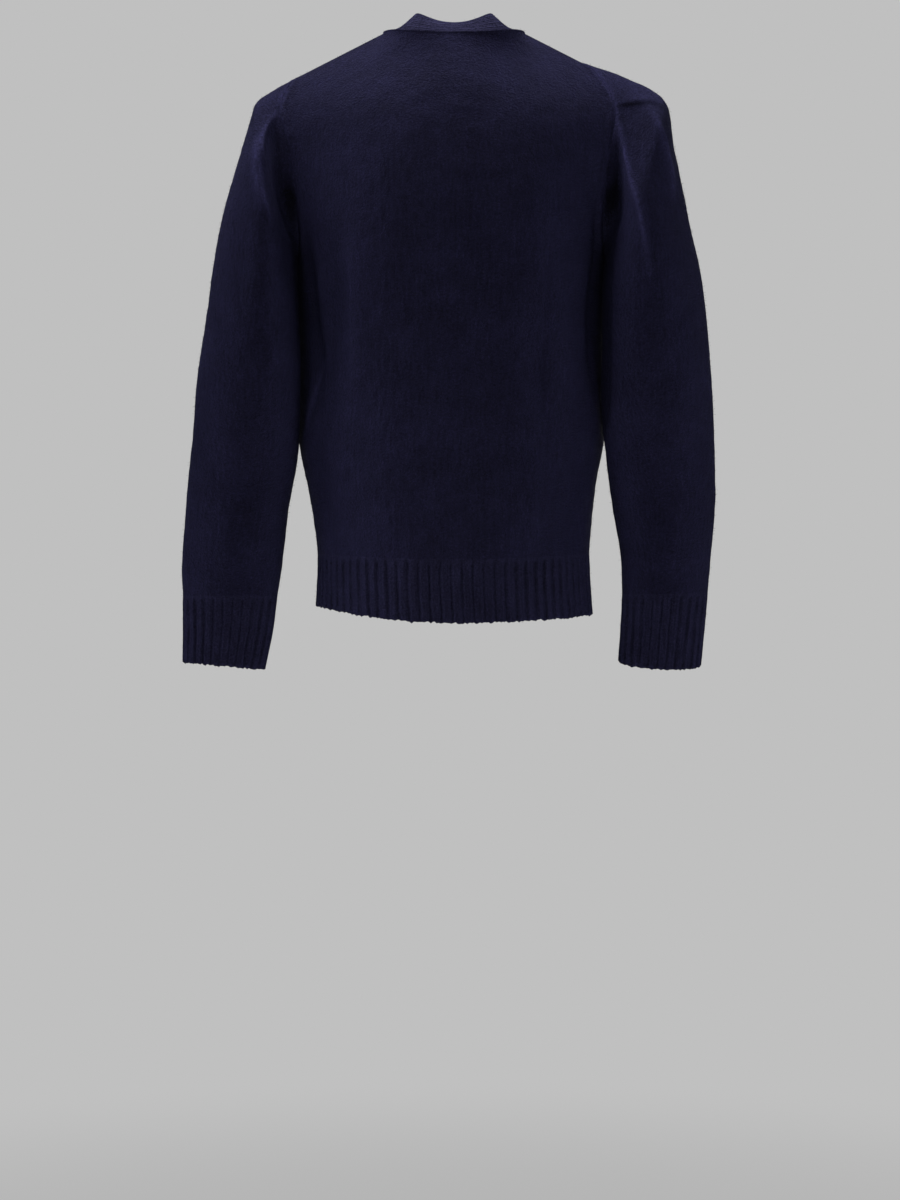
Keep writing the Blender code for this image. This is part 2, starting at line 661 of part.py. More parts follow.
def make_band(back, fronts, hems):
    """The band: up the right front, round the back neck and down the left front."""
    up = front_band_edge("right", fronts["right"], hems["right"])
    down = front_band_edge("left", fronts["left"], hems["left"])
    middle = NECK_STEPS + SHOULDER_STEPS
    corners = slice(middle - NECK_STEPS, middle + NECK_STEPS + 1)
    neck_outer, neck_inner = (grid[-1, corners] for grid in back)
    neck = (neck_outer[1:-1], neck_inner[1:-1], standing(neck_outer))
    stretches = (up, neck, tuple(part[::-1] for part in down))
    outer, inner, direction = (np.concatenate(parts) for parts in zip(*stretches))
    outer_grid, inner_grid = band_wall(outer, inner, direction)
    band = add("front_band", wall_mesh("front_band", outer_grid, inner_grid), NAVY_BAND)
    return band, down


def band_front(down, depth):
    """The outer band's surface on the centre line: its y and its slope there."""
    middle_line = band_wall(*down)[0][:, 1]
    order = np.argsort(-middle_line[:, 2])
    spread = depth + BUTTON_RADIUS * np.array([-1.0, 0.0, 1.0])
    above, y, below = np.interp(spread, -middle_line[order, 2], middle_line[order, 1])
    return min(y, 0.5 * (above + below)), (above - below) / (2 * BUTTON_RADIUS)


def post_mesh(name, radius, bottom, top, steps):
    """A plain round post along Y, from bottom to top."""
    angle = np.linspace(0.0, 2 * math.pi, steps + 1)[:-1]
    ring = [(radius * math.cos(a), radius * math.sin(a)) for a in angle]
    points = [(x, bottom, z) for x, z in ring] + [(x, top, z) for x, z in ring]
    faces = [tuple(range(steps)), tuple(reversed(range(steps, 2 * steps)))]
    faces += [(i, i + steps, (i + 1) % steps + steps, (i + 1) % steps) for i in range(steps)]
    mesh = bpy.data.meshes.new(name)
    mesh.from_pydata(points, [], faces)
    turn_outward(mesh)
    return mesh


def button_blank(name):
    """The button before its holes: a disc with a rounded rim and a dished middle, facing -Y."""
    dish_radius = BUTTON_RADIUS - BUTTON_RIM
    profile = (
        (BUTTON_RADIUS - BUTTON_EASE, 0.0),
        (BUTTON_RADIUS, -BUTTON_EASE),
        (BUTTON_RADIUS, -BUTTON_THICKNESS + BUTTON_EASE),
        (BUTTON_RADIUS - BUTTON_EASE, -BUTTON_THICKNESS),
        (dish_radius, -BUTTON_THICKNESS),
        (dish_radius - BUTTON_DISH, -BUTTON_THICKNESS + BUTTON_DISH),
    )
    angle = np.linspace(0.0, 2 * math.pi, BUTTON_STEPS + 1)[:-1]
    points = [(r * math.cos(a), y, r * math.sin(a)) for r, y in profile for a in angle]
    faces = []
    for k in range(len(profile) - 1):
        for i in range(BUTTON_STEPS):
            j = (i + 1) % BUTTON_STEPS
            low, high = k * BUTTON_STEPS, (k + 1) * BUTTON_STEPS
            faces.append((low + i, low + j, high + j, high + i))
    last = (len(profile) - 1) * BUTTON_STEPS
    faces.append(tuple(reversed(range(BUTTON_STEPS))))
    faces.append(tuple(range(last, last + BUTTON_STEPS)))
    mesh = bpy.data.meshes.new(name)
    mesh.from_pydata(points, [], faces)
    turn_outward(mesh)
    return mesh


def cut(made, cutter):
    """Cuts one object out of another."""
    boolean = made.modifiers.new(cutter.name, "BOOLEAN")
    boolean.operation = "DIFFERENCE"
    boolean.solver = "EXACT"
    boolean.object = cutter


def cutter_object(name, mesh):
    """A cutter, in the scene but not a piece of the garment."""
    made = bpy.data.objects.new(name, mesh)
    made.hide_render = True
    made.display_type = "WIRE"
    bpy.context.scene.collection.objects.link(made)
    return made


def holes_mesh(name):
    """The four sewing holes as one mesh of four posts."""
    points = []
    faces = []
    for side in (-1, 1):
        for level in (-1, 1):
            ends = (CUT_MARGIN, -BUTTON_THICKNESS - CUT_MARGIN)
            post = post_mesh(name, BUTTON_HOLE_RADIUS, *ends, HOLE_STEPS)
            first = len(points)
            shift = (side * BUTTON_HOLE_SPREAD, level * BUTTON_HOLE_SPREAD)
            points += [(v.co.x + shift[0], v.co.y, v.co.z + shift[1]) for v in post.vertices]
            faces += [tuple(first + v for v in face.vertices) for face in post.polygons]
            bpy.data.meshes.remove(post)
    mesh = bpy.data.meshes.new(name)
    mesh.from_pydata(points, [], faces)
    return mesh


def slot_mesh(name):
    """A buttonhole's cutter: a tall narrow block through the outer band."""
    half_width, half_length = 0.5 * BUTTONHOLE_WIDTH, 0.5 * BUTTONHOLE_LENGTH
    front, back = -CUT_MARGIN, BUTTON_CLEARANCE + RIB_WALL + 0.5 * BAND_LAYER_GAP
    sizes = ((-half_width, half_width), (front, back), (-half_length, half_length))
    points = [(x, y, z) for x in sizes[0] for y in sizes[1] for z in sizes[2]]
    faces = [(0, 1, 3, 2), (4, 6, 7, 5), (0, 4, 5, 1), (2, 3, 7, 6), (0, 2, 6, 4), (1, 5, 7, 3)]
    mesh = bpy.data.meshes.new(name)
    mesh.from_pydata(points, [], faces)
    turn_outward(mesh)
    return mesh


def make_buttons(band, down):
    """Six buttons on the outer band, each sewn to the inner band through a buttonhole."""
    post_end = BUTTON_CLEARANCE + RIB_WALL + BAND_LAYER_GAP - THREAD_GAP
    for number in range(1, BUTTON_COUNT + 1):
        depth = FIRST_BUTTON_DEPTH + (number - 1) * BUTTON_SPACING
        y, slope = band_front(down, depth)
        place = (0.0, y - BUTTON_CLEARANCE, -depth)
        turn = (-math.atan(slope), 0.0, 0.0)
        name = "button_%d" % number
        button = add(name, button_blank(name), HORN, roughness=0.35, sheen=0.0)
        holes = cutter_object("holes_%d" % number, holes_mesh("holes_%d" % number))
        thread_name = "button_thread_%d" % number
        post = post_mesh(thread_name, THREAD_RADIUS, THREAD_GAP, post_end, HOLE_STEPS)
        thread = add(thread_name, post, NAVY_THREAD, roughness=0.8)
        slot = cutter_object("buttonhole_%d" % number, slot_mesh("buttonhole_%d" % number))
        for made in (button, holes, thread, slot):
            made.location = place
            made.rotation_euler = turn
        cut(button, holes)
        cut(band, slot)


def main():
    """Builds the whole cardigan."""
    for old in list(bpy.data.objects):
        bpy.data.objects.remove(old)
    back = make_back()
    fronts = {side: make_front(side) for side in ("left", "right")}
    hems = make_hems()
    for side in ("left", "right"):
        make_sleeve(side)
    band, down = make_band(back, fronts, hems)
    make_buttons(band, down)


main()
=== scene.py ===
"""The look of a knitted wool cardigan in its worn shape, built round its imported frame.

Everything is in metres, +Z up. The wearer faces -Y, so the wearer's left is +X. The origin
lies at the height of the middle of the back neck seam, and every depth is a distance below it.
"""

import logging
import math
from dataclasses import dataclass, field
from enum import Enum
from typing import Callable, NamedTuple, Sequence

import bmesh
import bpy
import numpy as np
from mathutils import Matrix, Vector


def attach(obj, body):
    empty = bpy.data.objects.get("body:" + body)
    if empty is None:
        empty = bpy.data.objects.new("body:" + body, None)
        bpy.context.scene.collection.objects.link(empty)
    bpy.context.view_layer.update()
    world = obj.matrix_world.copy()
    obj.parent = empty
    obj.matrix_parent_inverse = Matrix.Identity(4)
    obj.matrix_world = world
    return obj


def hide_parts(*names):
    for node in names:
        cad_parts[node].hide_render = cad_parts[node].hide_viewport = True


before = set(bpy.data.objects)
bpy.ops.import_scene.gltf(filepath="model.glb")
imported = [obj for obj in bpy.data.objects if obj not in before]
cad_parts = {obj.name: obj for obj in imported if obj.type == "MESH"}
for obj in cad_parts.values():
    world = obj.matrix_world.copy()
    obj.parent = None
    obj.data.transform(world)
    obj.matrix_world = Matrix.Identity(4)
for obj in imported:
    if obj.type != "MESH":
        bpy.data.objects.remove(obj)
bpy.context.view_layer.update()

BODY = "root"
LOG = logging.getLogger("cardigan")
Grid = np.ndarray
Colour = tuple[float, float, float]


class Side(Enum):
    """The wearer's left or right."""

    LEFT = "left"
    RIGHT = "right"

    @property
    def sign(self) -> float:
        """The sign of X on this side."""
        return 1.0 if self is Side.LEFT else -1.0


class Face(Enum):
    """The back or the front of the body."""

    BACK = "back"
    FRONT = "front"

    @property
    def sign(self) -> float:
        """The sign of Y on this face."""
        return 1.0 if self is Face.BACK else -1.0


# ---------------------------------------------------------------------------
# Small tools for curves and grids of points
# ---------------------------------------------------------------------------


def smooth(at: Sequence[float] | float, stations: Sequence[float], values: Sequence[float]) -> Grid:
    """Reads a smooth curve through given values.

    Args:
        at: Where the curve is read.
        stations: Rising places of the given values.
        values: The value at each station.

    Returns:
        The curve's values, one for each entry of at.
    """
    place = np.asarray(at, dtype=float)
    stations = np.asarray(stations, dtype=float)
    values = np.asarray(values, dtype=float)
    slopes = np.gradient(values, stations)
    span = np.clip(np.searchsorted(stations, place, side="right") - 1, 0, len(stations) - 2)
    width = stations[span + 1] - stations[span]
    t = np.clip((place - stations[span]) / width, 0.0, 1.0)
    start = values[span] * (1 + 2 * t) * (1 - t) ** 2 + slopes[span] * width * t * (1 - t) ** 2
    end = values[span + 1] * t * t * (3 - 2 * t) - slopes[span + 1] * width * t * t * (1 - t)
    return start + end


def column(rows: Sequence[NamedTuple], name: str) -> list[float]:
    """One named column of a table."""
    return [getattr(row, name) for row in rows]


def table(kind: type, *rows: tuple) -> tuple:
    """A table whose rows are all of one kind."""
    return tuple(kind(*row) for row in rows)


def read(rows: Sequence[NamedTuple], name: str, at: Grid | float) -> Grid:
    """A smooth curve through one column of a table, whose first column is the place."""
    return smooth(at, column(rows, rows[0]._fields[0]), column(rows, name))


def unit(vectors: Grid) -> Grid:
    """Vectors of length one, along the last axis."""
    return vectors / np.maximum(np.linalg.norm(vectors, axis=-1, keepdims=True), 1e-12)


def share_above(value: Grid | float, low: float, high: float) -> Grid:
    """0 up to low, 1 from high, and even between."""
    return np.clip((np.asarray(value, dtype=float) - low) / (high - low), 0.0, 1.0)


def soft_step(value: Grid | float, low: float, high: float) -> Grid:
    """0 up to low, 1 from high, and an S curve between."""
    t = share_above(value, low, high)
    return t * t * (3.0 - 2.0 * t)


def lengths(points: Grid, axis: int) -> Grid:
    """Running length along a grid of points.

    Args:
        points: The points, in a line or in rows and columns.
        axis: The axis to run along.

    Returns:
        The length from the first point to each one, 0 at the first.
    """
    steps = np.linalg.norm(np.diff(points, axis=axis), axis=-1)
    start = np.zeros_like(np.take(steps, [0], axis=axis))
    return np.concatenate([start, np.cumsum(steps, axis=axis)], axis=axis)


def grid_normals(grid: Grid, outward: Grid, closed: bool = False) -> Grid:
    """Unit normals of a grid of points.

    Args:
        grid: Rows by columns of points.
        outward: Vectors that point roughly out of the surface.
        closed: True where the last column joins the first.

    Returns:
        A normal for each point, turned to the side of outward.
    """
    along = np.gradient(grid, axis=0)
    if closed:
        around = 0.5 * (np.roll(grid, -1, axis=1) - np.roll(grid, 1, axis=1))
    else:
        around = np.gradient(grid, axis=1)
    normals = unit(np.cross(along, around))
    turned = np.sign(np.sum(normals * outward, axis=-1, keepdims=True))
    return normals * np.where(turned == 0, 1.0, turned)


def even_places(points: Grid, places: Grid, count: int) -> Grid:
    """Parameters of count evenly spaced points on a line, read from its places' parameters."""
    run = lengths(points, 0)
    return np.interp(np.linspace(0.0, run[-1], count), run, places)


def relaxed(grid: Grid, rounds: int) -> Grid:
    """Evens out a grid of points.

    Args:
        grid: Rows by columns of points.
        rounds: How many times each point is drawn to its neighbours' middle.

    Returns:
        The new grid; its four edges stay where they are.
    """
    eased = grid.copy()
    for _ in range(rounds):
        around = eased[:-2, 1:-1] + eased[2:, 1:-1] + eased[1:-1, :-2] + eased[1:-1, 2:]
        eased[1:-1, 1:-1] = 0.5 * eased[1:-1, 1:-1] + 0.125 * around
    return eased


def uneven(shape: tuple[int, ...], amount: float, seed: int) -> Grid:
    """Soft random heights for a grid or a line of points, the same on every run.

    Args:
        shape: The grid's size.
        amount: How much they vary, in metres.
        seed: Seed of the random numbers.

    Returns:
        A height for each point.
    """
    steps = np.random.default_rng(seed).normal(size=shape)
    for axis in range(len(shape)):
        steps = 0.25 * np.roll(steps, 1, axis) + 0.5 * steps + 0.25 * np.roll(steps, -1, axis)
    return amount * steps / steps.std()


# ---------------------------------------------------------------------------
# The worn shape
# ---------------------------------------------------------------------------


class ArmholeRow(NamedTuple):
    """A place on the armhole seam: drop is its share of the armhole's height."""

    drop: float
    back_out_left: float
    back_out_right: float
    back_y: float
    front_out_left: float
    front_out_right: float
    front_y: float


class SideRow(NamedTuple):
    """A place on the side seams."""

    depth: float
    left: float
    right: float
    y: float


class ProfileRow(NamedTuple):
    """A place on the centre lines of the back and the fronts."""

    depth: float
    back_y: float
    front_y: float


class LevelRow(NamedTuple):
    """How a level curves from the centre line to its edge."""

    depth: float
    bow: float
    square: float
    back_side_y: float
    front_side_y: float


class SectionRow(NamedTuple):
    """A section across a sleeve: its outer and inner line seen from behind, and its depth.

    The drop says how much lower the section's back hangs than its middle.
    """

    outer_out: float
    outer_depth: float
    inner_out: float
    inner_depth: float
    middle_y: float
    half_depth: float
    drop: float = 0.0


class StandRow(NamedTuple):
    """How far the neck band stands up from level, from the centre back to the shoulder."""

    share: float
    degrees: float


ARMHOLE = table(
    ArmholeRow,
    (0.00, 0.172, 0.143, 0.003, 0.172, 0.143, 0.003),
    (0.07, 0.183, 0.157, 0.027, 0.174, 0.152, -0.020),
    (0.25, 0.193, 0.177, 0.050, 0.172, 0.160, -0.046),
    (0.50, 0.179, 0.171, 0.056, 0.168, 0.161, -0.058),
    (0.75, 0.173, 0.165, 0.044, 0.167, 0.161, -0.050),
    (0.93, 0.172, 0.165, 0.020, 0.170, 0.164, -0.024),
    (1.00, 0.175, 0.168, 0.000, 0.175, 0.168, 0.000),
)
SIDES = table(
    SideRow,
    (0.238, 0.1750, 0.1680, 0.000),
    (0.244, 0.1763, 0.1692, -0.004),
    (0.255, 0.1772, 0.1700, -0.012),
    (0.285, 0.1782, 0.1710, -0.021),
    (0.325, 0.1770, 0.1700, -0.025),
    (0.370, 0.1762, 0.1690, -0.029),
    (0.415, 0.1760, 0.1698, -0.031),
    (0.450, 0.1745, 0.1688, -0.029),
    (0.476, 0.1692, 0.1630, -0.022),
    (0.515, 0.1608, 0.1570, -0.013),
    (0.573, 0.1530, 0.1518, -0.008),
    (0.645, 0.1555, 0.1555, -0.006),
)
PROFILE = table(
    ProfileRow,
    (0.000, 0.058, -0.004),
    (0.030, 0.077, -0.028),
    (0.060, 0.091, -0.050),
    (0.100, 0.103, -0.075),
    (0.150, 0.111, -0.098),
    (0.215, 0.113, -0.115),
    (0.300, 0.109, -0.120),
    (0.400, 0.108, -0.118),
    (0.500, 0.114, -0.115),
    (0.581, 0.119, -0.114),
    (0.650, 0.120, -0.112),
)
LEVELS = table(
    LevelRow,
    (0.000, 1.00, 2.4, 0.003, 0.003),
    (0.030, 1.00, 2.4, 0.012, -0.010),
    (0.060, 1.00, 2.5, 0.023, -0.023),
    (0.100, 1.02, 2.5, 0.036, -0.036),
    (0.150, 1.16, 2.6, 0.041, -0.042),
    (0.190, 1.40, 2.7, 0.032, -0.034),
    (0.240, 1.72, 2.7, 0.009, -0.020),
    (0.300, 1.94, 2.6, -0.017, -0.021),
    (0.380, 2.00, 2.5, -0.029, -0.029),
    (0.450, 2.00, 2.4, -0.028, -0.028),
    (0.510, 2.00, 2.3, -0.014, -0.014),
    (0.580, 2.00, 2.3, -0.008, -0.008),
    (0.660, 2.00, 2.3, -0.006, -0.006),
)
SLEEVES = {
    Side.LEFT: table(
        SectionRow,
        (0.1720, 0.038, 0.1750, 0.2400, 0.000, 0.057),
        (0.1975, 0.053, 0.1755, 0.2412, 0.004, 0.064),
        (0.2175, 0.069, 0.1758, 0.2440, 0.009, 0.069),
        (0.2265, 0.093, 0.1755, 0.2490, 0.014, 0.071),
        (0.2410, 0.140, 0.1746, 0.2620, 0.019, 0.071),
        (0.2565, 0.198, 0.1735, 0.2860, 0.024, 0.068),
        (0.2680, 0.258, 0.1722, 0.3190, 0.025, 0.063),
        (0.2770, 0.325, 0.1706, 0.3620, 0.024, 0.055),
        (0.2865, 0.390, 0.1702, 0.4120, 0.019, 0.049),
        (0.2935, 0.455, 0.1746, 0.4640, 0.005, 0.046),
        (0.3010, 0.518, 0.1852, 0.5180, -0.010, 0.043),
        (0.3055, 0.575, 0.1920, 0.5720, -0.017, 0.038),
        (0.3055, 0.620, 0.1990, 0.6200, -0.021, 0.031),
        (0.3055, 0.656, 0.2045, 0.6600, -0.023, 0.025),
        (0.3060, 0.694, 0.2130, 0.7020, -0.024, 0.021),
    ),
    Side.RIGHT: table(
        SectionRow,
        (0.1430, 0.023, 0.1680, 0.2380, 0.000, 0.057),
        (0.1840, 0.038, 0.1684, 0.2394, 0.004, 0.064),
        (0.2175, 0.054, 0.1686, 0.2425, 0.009, 0.069),
        (0.2378, 0.077, 0.1682, 0.2475, 0.014, 0.071),
        (0.2455, 0.125, 0.1668, 0.2600, 0.019, 0.071),
        (0.2570, 0.188, 0.1652, 0.2840, 0.024, 0.068),
        (0.2715, 0.253, 0.1645, 0.3180, 0.026, 0.063),
        (0.2820, 0.322, 0.1636, 0.3620, 0.025, 0.055),
        (0.2870, 0.390, 0.1636, 0.4120, 0.020, 0.049),
        (0.2915, 0.455, 0.1694, 0.4640, 0.004, 0.046),
        (0.2925, 0.518, 0.1785, 0.5180, -0.011, 0.043),
        (0.2895, 0.575, 0.1875, 0.5720, -0.017, 0.038),
        (0.2860, 0.616, 0.1895, 0.6180, -0.021, 0.033, 0.001),
        (0.2825, 0.656, 0.1880, 0.6560, -0.023, 0.029, 0.003),
        (0.2785, 0.698, 0.1855, 0.6930, -0.024, 0.027, 0.006),
    ),
}
STANDS = table(
    StandRow,
    (0.00, 32.0),
    (0.35, 38.0),
    (0.55, 46.0),
    (0.70, 52.0),
    (0.78, 48.0),
    (0.84, 14.0),
    (0.92, 5.0),
    (1.00, 4.0),
)
FULL_CREST = 0.0066  # a ridge this high gets the full painted highlight
FULL_TROUGH = 0.0095  # and a trough this deep the full painted shade
CREST_HIGHLIGHT = (0.6, 2.2)  # how light that is, and the power of the height that it follows
TROUGH_SHADE = (0.5, 1.2)  # how dark that is, and the power
FOLD_POINTS = 6  # in a fold's smooth line, for each point given
FOLD_FALL = 1.5  # the power by which its slopes fall off
FOLD_ENDS = (0.06, 0.88, 0.8)  # start and length on the sine that its ends follow, and the power
FOLD_TURN = (0.12, 0.50)  # it fades in over this much of facing the back or the front
PAINTED_SHADING_TURN = 0.45  # how much sooner painted light and shade fade in


class Fold(NamedTuple):
    """A soft ridge, or a trough where height is negative, along a line on the cloth.

    The line is given as (x, depth) points, from one end to the other. The widths are how
    far it spreads to the left and to the right of the way it runs, X to the right and Z up.
    """

    face: Face
    line: tuple[tuple[float, float], ...]
    height: float
    left_width: float
    right_width: float


def folds(face: Face, *rows: tuple) -> tuple[Fold, ...]:
    """Folds on one face, each given as its height, its two widths and its points."""
    return tuple(Fold(face, row[3:], *row[:3]) for row in rows)


def fold_heights(points: Grid, facing: Grid, folds: Sequence[Fold]) -> Grid:
    """How far folds lift each point of a cloth.

    Args:
        points: Grid of points.
        facing: The Y part of each point's outward normal.
        folds: The folds that lie on this cloth.

    Returns:
        A height for each point, to be added along its normal.
    """
    flat = np.stack([points[..., 0], points[..., 2]], axis=-1)
    total = np.zeros(points.shape[:-1])
    first, length, power = FOLD_ENDS
    for fold in folds:
        line = np.array([(x, -depth) for x, depth in fold.line])
        run = lengths(line, 0)
        fine = np.linspace(0.0, run[-1], FOLD_POINTS * len(line))
        line = np.stack([smooth(fine, run, line[:, k]) for k in (0, 1)], axis=1)
        best = np.full(points.shape[:-1], np.inf)
        away = np.zeros_like(best)
        along = np.zeros_like(best)
        for k in range(len(line) - 1):
            start, step = line[k], line[k + 1] - line[k]
            size = float(np.hypot(*step))
            t = np.clip(((flat - start) @ step) / size**2, 0.0, 1.0)
            gap = flat - start - t[..., None] * step
            distance = np.hypot(gap[..., 0], gap[..., 1])
            nearer = distance < best
            side = np.sign(step[0] * gap[..., 1] - step[1] * gap[..., 0])
            best = np.where(nearer, distance, best)
            away = np.where(nearer, distance * side, away)
            along = np.where(nearer, (k + t) / (len(line) - 1), along)
        width = np.where(away > 0, fold.left_width, fold.right_width)
        bell = 1.0 / (1.0 + (best / width) ** 2) ** FOLD_FALL
        ends = np.sin(math.pi * np.clip(first + length * along, 0.0, 1.0)) ** power
        turned = soft_step(facing * fold.face.sign, *FOLD_TURN)
        total += fold.height * bell * ends * turned
    return total


def crease_painted_shading(height: Grid) -> Grid:
    """How much a painted highlight lightens a crest, and painted shade darkens a trough.

    Args:
        height: How far the folds lift each point.

    Returns:
        A tone for each point, from -1 to 1.
    """
    (light, rise), (dark, fall) = CREST_HIGHLIGHT, TROUGH_SHADE
    crest = light * np.clip(height / FULL_CREST, 0.0, 1.0) ** rise
    return crest - dark * np.clip(-height / FULL_TROUGH, 0.0, 1.0) ** fall


def line_painted_shading(points: Grid, facing: Grid, lines: Sequence[Fold]) -> Grid:
    """Painted light and shade along lines drawn like folds, also on cloth turned a little away."""
    return fold_heights(points, facing + PAINTED_SHADING_TURN * lines[0].face.sign, lines)


@dataclass(frozen=True)
class WornShape:
    """The garment's smooth surfaces, before folds: the same as the frame's, read finely."""

    wall: float = 0.0025
    rib_wall: float = 0.0030
    seam_gap: float = 0.0003
    band_width: float = 0.030
    layer_gap: float = 0.0004
    neck_half_width: float = 0.079
    neck_back_reach: float = 0.058
    neck_rise: float = 0.009
    neck_square: float = 2.6
    shoulder_slope: float = 0.51
    shoulder_line_y: float = 0.003
    v_depth: float = 0.235
    v_bulge: float = 0.10
    seam_pull: float = 7.0
    underarm_depth: dict = field(default_factory=lambda: {Side.LEFT: 0.240, Side.RIGHT: 0.238})
    centre_rib_depth: dict = field(default_factory=lambda: {Face.BACK: 0.581, Face.FRONT: 0.576})
    centre_hem_depth: dict = field(default_factory=lambda: {Face.BACK: 0.6485, Face.FRONT: 0.642})
    side_rib_depth: float = 0.573
    side_hem_depth: dict = field(default_factory=lambda: {Side.LEFT: 0.630, Side.RIGHT: 0.640})
    shoulder_blend: float = 0.100
    shoulder_turn: dict = field(
        default_factory=lambda: {Face.BACK: (-0.040, 0.013), Face.FRONT: (0.000, 0.013)}
    )
    shoulder_power: float = 1.6
    corner_blend: float = 0.032
    corner_power: float = 1.5
    cuff_row: float = 12.0
    cap_rows: float = 4.0
    lean_depth: float = 0.070
    layer_fade: tuple[float, float] = (0.150, 0.190)

    def shoulder_height(self, out: Grid | float) -> Grid | float:
        """Height of the shoulder line at a distance from the centre line."""
        return self.neck_rise - self.shoulder_slope * (out - self.neck_half_width)

    def armhole(self, side: Side, face: Face, turns: Grid) -> Grid:
        """Points of the armhole seam.

        Args:
            side: Which armhole.
            face: Its back or its front half.
            turns: Places on it, from 0 at the shoulder tip to 6 underneath.

        Returns:
            One point for each turn.
        """
        rows = range(len(ARMHOLE))
        tip = -self.shoulder_height(getattr(ARMHOLE[0], "back_out_" + side.value))
        drop = smooth(turns, rows, column(ARMHOLE, "drop"))
        out = smooth(turns, rows, column(ARMHOLE, face.value + "_out_" + side.value))
        y = smooth(turns, rows, column(ARMHOLE, face.value + "_y"))
        depth = tip + (self.underarm_depth[side] - tip) * drop
        return np.stack([side.sign * out, y, -depth], axis=-1)

    def armhole_inward(self, face: Face, turns: Grid) -> Grid:
        """Unit vectors from the armhole seam towards the middle of the armhole."""
        angle = math.pi * turns / (len(ARMHOLE) - 1)
        return np.stack([0 * angle, -face.sign * np.sin(angle), -np.cos(angle)], axis=-1)

    def side_seam(self, side: Side, depths: Grid) -> Grid:
        """Points of the side seam."""
        out, y = read(SIDES, side.value, depths), read(SIDES, "y", depths)
        return np.stack([side.sign * out, y, -np.asarray(depths, dtype=float)], axis=-1)

    def across(self, edge: Grid, centre: tuple[float, float], ratio: Grid, face: Face) -> Grid:
        """Points across one level of the body.

        Args:
            edge: The level's outer end.
            centre: Y and Z of its middle.
            ratio: 0 on the centre line and 1 at the edge.
            face: The back or the front.

        Returns:
            One point for each ratio.
        """
        depth = max(-centre[1], 0.0)
        bow, square = read(LEVELS, "bow", depth), read(LEVELS, "square", depth)
        side_y = read(LEVELS, face.value + "_side_y", depth)
        reach = np.clip(1.0 - ratio**square, 0.0, 1.0) ** (1.0 / bow)
        x = edge[0] * ratio
        y = side_y + (centre[0] - side_y) * reach + (edge[1] - side_y) * ratio**self.seam_pull
        z = edge[2] + (centre[1] - edge[2]) * (1.0 - ratio**2)
        return np.stack([x, y, z], axis=1)

    def top_line(self, out: Grid, side: Side, face: Face) -> Grid:
        """The upper edge of a panel: the neck seam, then the shoulder line out to its tip.

        Args:
            out: Distances from the centre line.
            side: Which half.
            face: The back, or the front, which has no neck seam here.

        Returns:
            One point for each distance.
        """
        share = np.clip(out / self.neck_half_width, 0.0, 1.0)
        reach = self.neck_back_reach - self.shoulder_line_y
        neck_y = self.shoulder_line_y + reach * np.sqrt(1.0 - share**self.neck_square)
        on_neck = (out < self.neck_half_width) & (face is Face.BACK)
        y = np.where(on_neck, neck_y, self.shoulder_line_y)
        z = np.where(on_neck, self.neck_rise * share**2, self.shoulder_height(out))
        return np.stack([side.sign * out, y, z], axis=1)

    def front_inner_out(self, depth: float) -> float:
        """Distance from the centre line to a front's inner edge.

        Args:
            depth: How far below the origin.

        Returns:
            The distance, which is half the band's width below the V neck.
        """
        up = float(share_above(self.v_depth - depth, 0.0, self.v_depth))
        lean = up + self.v_bulge * math.sin(math.pi * up)
        return 0.5 * self.band_width + (self.neck_half_width - 0.5 * self.band_width) * lean

    def half_panel(
        self,
        side: Side,
        face: Face,
        edges: Grid,
        shares: Grid,
        ratios: Callable[[float, float], Grid],
    ) -> Grid:
        """One half of a body panel.

        Args:
            side: Which half.
            face: The back or the front.
            edges: The outer end of each level, from the rib up to the shoulder tip.
            shares: How far up each level is, from 0 at the rib to 1 at the top.
            ratios: Gives the ratios across a level from its half width and its depth.

        Returns:
            Levels by columns of points, from the inner edge outwards.
        """
        profile = face.value + "_y"
        top = (getattr(PROFILE[0], profile), 0.0)
        rows = []
        for edge, share in zip(edges, shares):
            depth = self.centre_rib_depth[face] * (1.0 - share)
            centre_y = float(read(PROFILE, profile, depth))
            ratio = ratios(abs(edge[0]), depth)
            points = self.across(edge, (centre_y, -depth), ratio, face)
            own_top = self.across(edges[-1], top, ratio, face)
            change = self.top_line(ratio * abs(edges[-1][0]), side, face) - own_top
            bump = np.sin(math.pi * np.clip(ratio, 0.0, 1.0))[:, None] ** self.shoulder_power
            turn = bump * (0.0, *self.shoulder_turn[face])
            turning = share_above(self.shoulder_blend - depth, 0.0, self.shoulder_blend) ** 2
            corner = share_above(self.corner_blend - depth, 0.0, self.corner_blend)
            cornering = corner**self.corner_power
            rows.append(points + turn * turning + (change - turn) * cornering)
        return np.array(rows)

    def rings(self, side: Side, rows: Grid, angles: Grid) -> Grid:
        """Rings of points round a sleeve.

        Args:
            side: Which sleeve.
            rows: Fractional rows of its table of sections, one for each ring.
            angles: Radians round the ring: 0 is the outer line, and 90 degrees the back.

        Returns:
            Rings by angles of points.
        """
        given = SLEEVES[side]
        stations = range(len(given))
        size = {n: smooth(rows, stations, column(given, n))[:, None] for n in SectionRow._fields}
        outer = 0.5 + 0.5 * np.cos(angles)
        x = size["outer_out"] * outer + size["inner_out"] * (1.0 - outer)
        z = size["outer_depth"] * outer + size["inner_depth"] * (1.0 - outer)
        z = z + size["drop"] * np.sin(angles)
        y = size["middle_y"] + size["half_depth"] * np.sin(angles)
        return np.stack([side.sign * x, y, -z], axis=2)

